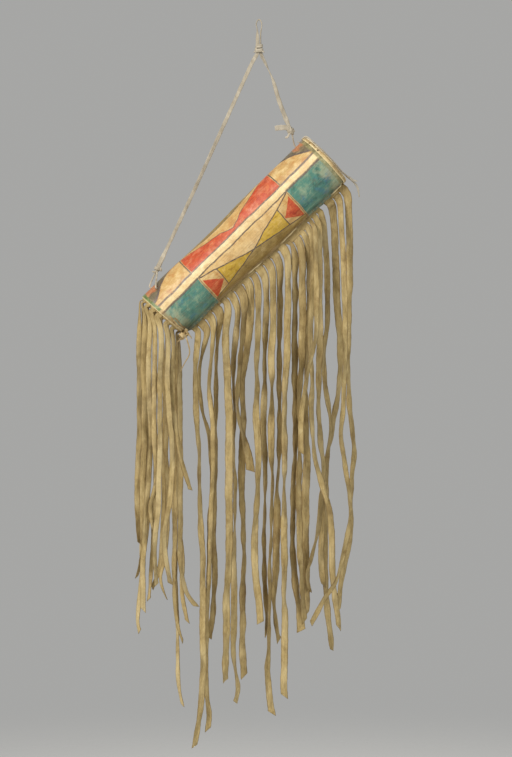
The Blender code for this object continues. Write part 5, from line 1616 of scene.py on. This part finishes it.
@dataclass
class Hanging(Assembly):
    """The strap with its eye, its binding, its knots and the thongs that hold the tube."""

    width: float = 0.0072
    thick: float = 0.0020
    eye_half: float = 0.0048
    eye_drop: float = 0.0095
    binding_top: float = -0.0405
    binding_height: float = 0.0155
    tie: float = 0.0030
    thin: float = 0.0015
    bead: float = 1.9
    left_station: float = 0.0417
    left_rise: float = 0.0150
    right_inset: float = 0.0085
    right_rise: float = 0.0270
    fork_holes: tuple[tuple[float, float], ...] = ((0.0150, math.radians(4)), (0.0215, math.radians(35)))
    right_hole: float = 0.0207
    hinge_hole: float = 0.0130

    @property
    def left(self) -> np.ndarray:
        """The middle of the strap's left knot."""
        return TUBE.wall_point(self.left_station, self.left_rise, 0.0)

    @property
    def right(self) -> np.ndarray:
        """The middle of the strap's right knot."""
        return TUBE.wall_point(TUBE.length - self.right_inset, self.right_rise, 0.0)

    def strap_route(self) -> list[np.ndarray]:
        """Return the strap's route: up from the left knot, over the peg and down to the right knot."""
        side, strand, drop, top = self.eye_half, self.thick / 2 + 0.0017, self.eye_drop, self.binding_top
        low = top - self.binding_height - 0.002
        left_mouth, right_mouth = np.array([-0.0034, -0.0012, low]), np.array([strand + 0.0008, 0.0006, low])

        def between(start: np.ndarray, end: np.ndarray, *rows: tuple[float, float]) -> list[np.ndarray]:
            """Return points between two, each a share of the way and moved aside to the right."""
            return [start + (end - start) * share + np.array([aside, 0.0, 0.0]) for share, aside in rows]

        eye = [(-0.0026, -0.0014, top), (-0.0028, -0.0012, -drop * 2.3), (-0.0036, -0.0004, -drop * 1.5),
               (-side, 0.0, -drop * 0.85), (-side * 0.68, 0.0, -drop * 0.20), (0.0, 0.0, self.thick / 2),
               (side * 0.68, 0.0, -drop * 0.20), (side, 0.0, -drop * 0.85), (strand + 0.0012, 0.0004, -drop * 1.7),
               (strand, 0.0006, -drop * 2.6), (strand, 0.0006, top)]
        left = between(self.left, left_mouth, (0.05, 0.0), (0.35, 0.0006), (0.70, -0.0004), (0.94, -0.0012))
        right = between(right_mouth, self.right, (0.12, 0.0012), (0.34, 0.0030), (0.62, 0.0), (0.95, 0.0))
        return [self.left, *left, left_mouth, *(np.array(row) for row in eye), right_mouth, *right, self.right]

    def build_strap(self) -> None:
        """Build the strap, its slit left end, its right knot and its cut ends."""
        width, thick, left, knot = self.width, self.thick, self.left, self.right
        route = self.strap_route()
        patches = [thong(
            route,
            ((0.0, 0.25), (0.30, -0.45), (0.50, 0.35), (0.60, 0.1), (0.648, 0.1), (0.672, math.pi / 2),
             (0.705, math.pi / 2), (0.77, 1.25), (0.79, 0.25), (0.815, 0.45), (0.838, 1.5), (0.875, 2.8),
             (0.93, math.pi), (1.0, math.pi + 0.1)),
            ((0.0, 0.0075), (0.03, 0.0085), (0.06, width * 0.80), (0.25, width * 0.90), (0.50, width * 0.92),
             (0.60, width * 0.92), (0.645, width * 0.80), (0.675, width * 0.60), (0.71, width * 0.60),
             (0.77, width * 0.72), (0.80, width * 0.85), (0.838, width * 0.55), (0.90, width * 0.98),
             (0.965, width * 1.08), (1.0, width * 0.8)),
            ((0.0, 0.0030), (0.05, thick), (0.5, thick * 0.9), (1.0, thick)), 0.5, 41, 0.0015, 0.05)]
        line = unit(route[1] - left)
        cross = np.array([line[2], 0.0, -line[0]])
        patches.append(Coil(left + line * 0.0030, line, cross, (0.0048, 0.0030), 0.0048, 2.2, 0.0030, 0.0014, 0.4,
                            0.6, 51).patch())
        patches.append(thong([left + line * 0.006, left + line * 0.0058 + cross * 0.0048 - BACK * 0.0016,
                              left + line * 0.0016 + cross * 0.0072 - BACK * 0.0018], ramp(0.2, 0.5),
                             ramp(0.0034, 0.0042), ramp(0.0016, 0.0015), 0.85, 52))
        patches.append(thong([left + line * 0.001, left - line * 0.0035 - cross * 0.0006,
                              left - line * 0.0048 - cross * 0.0065], ramp(0.1, 0.4),
                             ((0.0, 0.0052), (0.6, 0.0040), (1.0, 0.0020)), ramp(0.0018, 0.0012), 0.5, 53))
        down = unit(knot - route[-2])
        beside = np.array([-down[2], 0.0, down[0]])
        patches.append(Coil(knot, down, beside, (0.0056, 0.0034), 0.0080, 2.3, 0.0042, 0.0017, 0.9, 0.6, 54).patch())
        patches.append(Coil(knot + down * 0.001 + beside * 0.0015, beside, down, (0.0066, 0.0040), 0.0024, 1.15,
                            0.0040, 0.0016, 2.2, 0.72, 55).patch())
        cut_ends = (((0.001, -0.001, 0.003), (-0.009, -0.0035, 0.0050), (-0.018, -0.0045, 0.0048),
                     (-0.0270, -0.0050, 0.0036), 0.0080, 0.0094),
                    ((-0.001, -0.001, -0.003), (-0.0032, -0.0032, -0.0075), (-0.0052, -0.0038, -0.0112),
                     (-0.0092, -0.0040, -0.0126), 0.0040, 0.0034))
        for seed, (*steps, root, tip) in enumerate(cut_ends, 56):
            patches.append(thong([knot + np.array(step) for step in steps], ramp(0.1, 0.3),
                                 ((0.0, root), (0.7, tip), (1.0, tip * 0.96)), ramp(0.0019, 0.0016), 0.78, seed,
                                 cup=0.06))
        PieceBuilder("strap_skin", patches).build(self.finishes.strap, "strap")

    def build_binding(self) -> None:
        """Build the thong wound round both strands, with its two tucked ends."""
        middle = np.array([0.0, 0.0, self.binding_top - self.binding_height / 2])
        across = np.array([1.0, 0.0, 0.0])
        patches = [Coil(middle + np.array([0.0, 0.0, 0.0032]), np.array([0.05, 0.0, 1.0]), across, (0.0056, 0.0041),
                        0.0062, 2.4, 0.0036, 0.0015, 0.6, 0.55, 61, 0.7).patch(),
                   Coil(middle - np.array([0.0, 0.0, 0.0040]), np.array([-0.08, 0.0, 1.0]), across, (0.0066, 0.0047),
                        0.0056, 2.3, 0.0036, 0.0016, 2.4, 0.62, 62, 0.7).patch()]
        for sign in (-1.0, 1.0):
            foot = middle + np.array([sign * 0.0050, -0.0035, -0.0062])
            route = [foot, foot + np.array([sign * 0.0022, -0.0006, -0.0004]),
                     foot + np.array([sign * 0.0042, -0.0002, -0.0022])]
            patches.append(thong(route, ramp(0.2, 0.6), ramp(0.0036, 0.0014), ramp(0.0014, 0.0009), 0.7, 63))
        PieceBuilder("binding_skin", patches).build(self.finishes.strap, "strap_binding")

    def into_hole(self, point: np.ndarray, station: float, angle: float) -> list[np.ndarray]:
        """Return a tie's route from a point to a hole, its last stretch straight through the tube's wall."""
        radius = TUBE.radius(station, angle)
        reaches = (radius + 0.0046, radius - TUBE.wall / 2, radius - TUBE.wall - 0.0045)
        return [point, *(TUBE.point(station, reach, angle) for reach in reaches)]

    def build_ties(self) -> None:
        """Build the forked tie, the right tie and the short hinge tie."""
        tie, thin, bead = self.tie, self.thin, self.bead
        apex = self.left - TUBE.up * tie / 2 - TUBE.along * tie / 2
        first, second = (self.into_hole(apex, *hole) for hole in self.fork_holes)
        fork = thong(first[::-1] + second[1:], ramp(0.0, 0.0),
                     ((0.0, tie * bead), (0.08, tie * 0.85), (0.5, tie), (0.92, tie * 0.85), (1.0, tie * bead)),
                     ((0.0, thin * bead), (0.08, thin * 0.9), (0.92, thin * 0.9), (1.0, thin * bead)), 0.66, 71,
                     0.0008)
        start = self.right + np.array([0.0022, 0.0, -0.0032])
        right = thong(self.into_hole(start, TUBE.length - self.right_hole, 0.0), ramp(0.4, 0.4),
                      ((0.0, tie), (0.80, tie * 0.85), (1.0, tie * bead)),
                      ((0.0, thin), (0.80, thin), (1.0, thin * bead)), 0.62, 72, 0.0008)
        hole = TUBE.length - self.hinge_hole
        radius, edge_on = TUBE.radius(hole, 0.0), ramp(math.pi / 2, math.pi / 2)
        lie = radius + TUBE.gap + thin / 2

        def beside(*rows: tuple[float, float]) -> list[np.ndarray]:
            """Return points along the tube's top, each a station and a distance off the axis."""
            return [TUBE.point(station, reach, 0.0) for station, reach in rows]

        hinge = thong(beside((hole, radius - TUBE.wall - 0.005), (hole, radius - TUBE.wall / 2), (hole + 0.0006, lie),
                             (hole + 0.003, lie), (TUBE.length - LID_SKIRT - TUBE.gap, lie)), edge_on,
                      ((0.0, tie * bead), (0.24, tie), (0.5, tie), (1.0, tie * 1.3)),
                      ((0.0, thin * bead), (0.24, thin), (1.0, thin * 0.9)), 0.6, 73, 0.0008)
        knob = beside((hole + 0.0005, lie - 0.0002), (hole + 0.0002, lie + 0.002), (hole - 0.0008, lie + 0.0044))
        nub = thong(knob, edge_on, ramp(tie * 0.9, tie * 0.5), ramp(thin, thin * 0.7), 0.7, 74, 0.0008)
        for name, node, patches in (("fork_skin", "fork_thong", [fork]), ("right_tie_skin", "right_thong", [right]),
                                    ("hinge_skin", "hinge_thong", [hinge, nub])):
            PieceBuilder(name, patches).build(self.finishes.strap, node)

    def build(self) -> None:
        """Build the strap and all that ties it."""
        self.build_strap()
        self.build_binding()
        self.build_ties()


@dataclass
class BaseTie(Assembly):
    """The bulky knot at the base's lower corner, the strands it pulls tight and its loose tail."""

    angle: float = math.radians(157)
    rise: float = 0.0045
    strands: tuple[Row, ...] = ((-0.0050, 150.0, 98.0, 0.85), (-0.0012, 151.0, 108.0, 0.15),
                                (0.0026, 150.0, 101.0, 0.75), (0.0062, 149.0, 112.0, 0.20))

    def build_knot(self) -> None:
        """Build the knot from a core, three wound turns and its tails."""
        centre = TUBE.wall_point(-0.001, self.rise + TUBE.gap, self.angle)
        out, side = TUBE.outward(self.angle), TUBE.around(self.angle)
        patches = [lump(centre, np.array([TUBE.along, side, out]), (0.0088, 0.0052, 0.0042), 0.3, 3)]
        for index, (shift, turn) in enumerate(((-0.0056, 0.3), (0.0006, 2.1), (0.0062, 4.0))):
            tilt = TUBE.along + side * 0.25 * (-1.0) ** index
            patches.append(Coil(centre + TUBE.along * shift, tilt, out, (0.0054, 0.0066), 0.0024, 1.2, 0.0042, 0.0018,
                                turn, 0.75, 81 + index).patch())
        foot = centre + np.array([0.002, -0.001, -0.002])
        tails = (((0.0045, -0.002, -0.010), (0.008, -0.002, -0.030), (-0.001, 0.0, -0.048), (-0.010, 0.0, -0.066),
                  0.0024),
                 ((-0.004, -0.002, -0.004), (-0.009, -0.003, -0.008), (-0.013, -0.003, -0.011),
                  (-0.015, -0.003, -0.013), 0.0034),
                 ((0.003, -0.003, 0.002), (0.007, -0.004, 0.001), (0.010, -0.004, -0.002), (0.0115, -0.004, -0.005),
                  0.0030))
        for seed, (*steps, broad) in enumerate(tails, 91):
            route = [foot, *(foot + np.array(step) for step in steps)]
            patches.append(thong(route, ramp(0.3, 0.9), ramp(broad, broad * 0.7), ramp(0.0014, 0.0011), 0.7, seed))
        PieceBuilder("base_tie_skin", patches).build(self.finishes.sinew, "base_tie")

    def build_strands(self) -> None:
        """Build the lacing strands that run round the rim and sink into the hide at their ends."""
        patches = []
        share = np.linspace(0.0, 1.0, 9)
        rise = 0.0007 - 0.0016 * smooth_step((share - 0.8) / 0.2)
        for index, (station, start, end, tone) in enumerate(self.strands):
            angle = np.radians(np.linspace(start, end, 9))
            edge = TUBE.base_edge(angle) + 0.0045
            along = edge + station * 0.6 if station < 0.0 else station + edge * 0.5
            points = TUBE.point(along + 0.0008 * np.sin(6.0 * share + index), TUBE.radius(0.0, angle) + rise, angle)
            patches.append(laid_thong(points, TUBE.outward(angle), 0.0024, 0.0015, tone, 0.001, 95 + index))
        PieceBuilder("base_lacing", patches).build(self.finishes.sinew)

    def build(self) -> None:
        """Build the knot and its strands."""
        self.build_knot()
        self.build_strands()


@dataclass
class SeamStitches(Assembly):
    """The sinew stitches that hold the fringe between the sewn edges, on both sides."""

    spacing: float = 0.0086
    length: float = 0.0046
    inset: tuple[float, float] = (0.020, 0.016)

    def build(self) -> None:
        """Build each stitch as a short thong laid on the edge's side, its ends sunk in."""
        tube, out, patches = PaintedTube(self.finishes), TUBE.outward(TUBE.seam_angle), []
        starts = np.arange(self.inset[0], TUBE.length - self.inset[1], self.spacing)
        share = np.linspace(0.0, 1.0, 5)
        sunk = -0.0006 + 0.0011 * np.sin(math.pi * share)
        for side in Side:
            to_side = TUBE.around(TUBE.seam_angle) * side.value
            for seed, start in enumerate(starts, 400):
                station = start + share * self.length
                aside = TUBE.slit + TUBE.wall * 0.93 + tube.lift(station, side) * 0.8 + sunk
                radius = TUBE.radius(station, TUBE.seam_angle) + tube.rise(station) * 0.55
                points = TUBE.point(station, radius, TUBE.seam_angle) + to_side * aside[:, None]
                normals = np.broadcast_to(to_side + out * 0.15, points.shape)
                patches.append(laid_thong(points, normals, 0.0009, 0.0008, 0.3, 0.0009, seed))
        PieceBuilder("seam_stitches", patches).build(self.finishes.sinew)


@dataclass(frozen=True)
class Studio:
    """The camera at the photo's angle, the pale floor and the soft lights."""

    lens: float = 100.0
    sensor: float = 36.0
    height_seen: float = 757 * UNIT
    middle: tuple[float, float] = (-3.0 * UNIT, -358.5 * UNIT)
    target: Row = (-0.03, 0.0, -0.55)
    floor: float = -1.62
    reach: float = 3.0

    def build(self) -> None:
        """Build the camera, the floor and the lights."""
        scene = bpy.context.scene
        camera = bpy.data.cameras.new("camera")
        camera.lens, camera.sensor_height, camera.clip_end = self.lens, self.sensor, 50.0
        camera.sensor_fit = "VERTICAL"
        holder = bpy.data.objects.new("camera", camera)
        holder.location = (self.middle[0], -self.height_seen * self.lens / self.sensor, self.middle[1])
        holder.rotation_euler = (math.pi / 2, 0.0, 0.0)
        scene.collection.objects.link(holder)
        scene.camera = holder
        scene.view_settings.view_transform = "Standard"
        self.light("key", (-2.0, -2.4, 1.1), 1.0, 104.0, (1.0, 0.97, 0.93))
        self.light("fill", (2.4, -2.6, -0.6), 2.4, 34.0, (0.96, 0.98, 1.0))
        self.light("rim", (0.8, 2.4, 1.9), 1.4, 36.0, (1.0, 0.99, 0.96))
        scene.world = bpy.data.worlds.new("studio")
        scene.world.use_nodes = True
        background = scene.world.node_tree.nodes["Background"].inputs
        background["Color"].default_value, background["Strength"].default_value = linear(206, 206, 204), 0.62
        self.build_floor()

    def light(self, name: str, where: Row, size: float, power: float, colour: Row) -> None:
        """Place a square light that faces the case."""
        lamp = bpy.data.lights.new(name, "AREA")
        lamp.size, lamp.energy, lamp.color = size, power, colour
        holder = bpy.data.objects.new(name, lamp)
        holder.location = where
        away = np.array(where) - np.array(self.target)
        pitch = math.atan2(math.hypot(away[0], away[1]), away[2])
        holder.rotation_euler = (pitch, 0.0, math.atan2(away[1], away[0]) + math.pi / 2)
        bpy.context.scene.collection.objects.link(holder)

    def build_floor(self) -> None:
        """Build a plain pale floor well below the fringes, fading out into the plain background."""
        ring = np.linspace(0.0, 2.0 * math.pi, 65)[:-1]
        mesh = bpy.data.meshes.new("studio_floor")
        corners = np.stack([np.cos(ring), np.sin(ring), np.zeros(64)], -1) * self.reach
        mesh.from_pydata((corners + np.array([0.0, 0.0, self.floor])).tolist(), [], [list(range(64))])
        graph = FinishGraph("studio_floor")
        graph.shader.inputs["Base Color"].default_value = linear(222, 221, 218)
        graph.shader.inputs["Roughness"].default_value = 0.8
        flat = graph.vector("MULTIPLY", "Vector", {0: graph.where, 1: (1.0, 1.0, 0.0)})
        fade = graph.step(graph.vector("LENGTH", "Value", {0: flat}), self.reach * 0.98, self.reach * 0.30)
        seen = graph.math("SUBTRACT", 1.0, graph.node("ShaderNodeNewGeometry", "Backfacing", {}))
        graph.feed(graph.shader.inputs["Alpha"], fade * seen)
        mesh.materials.append(graph.material)
        floor = bpy.data.objects.new("studio_floor", mesh)
        bpy.context.scene.collection.objects.link(floor)


def main() -> None:
    """Build every piece in order and report it."""
    logging.basicConfig(level=logging.INFO, format="%(message)s")
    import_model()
    finishes = Finishes()
    # The mouth fringe's hide is set darker (0.46) as painted shade on its side away from the light
    for part in (PaintedTube(finishes), SeamFringe(finishes, "seam_fringe", SEAM_THONGS, 100),
                 SeamFringe(finishes, "mouth_fringe", MOUTH_THONGS, 200, 0.46), BaseFringe(finishes),
                 BaseDish(finishes), Lid(finishes), Hanging(finishes), BaseTie(finishes), SeamStitches(finishes)):
        part.build()
    Studio().build()


if __name__ == "__main__":
    main()
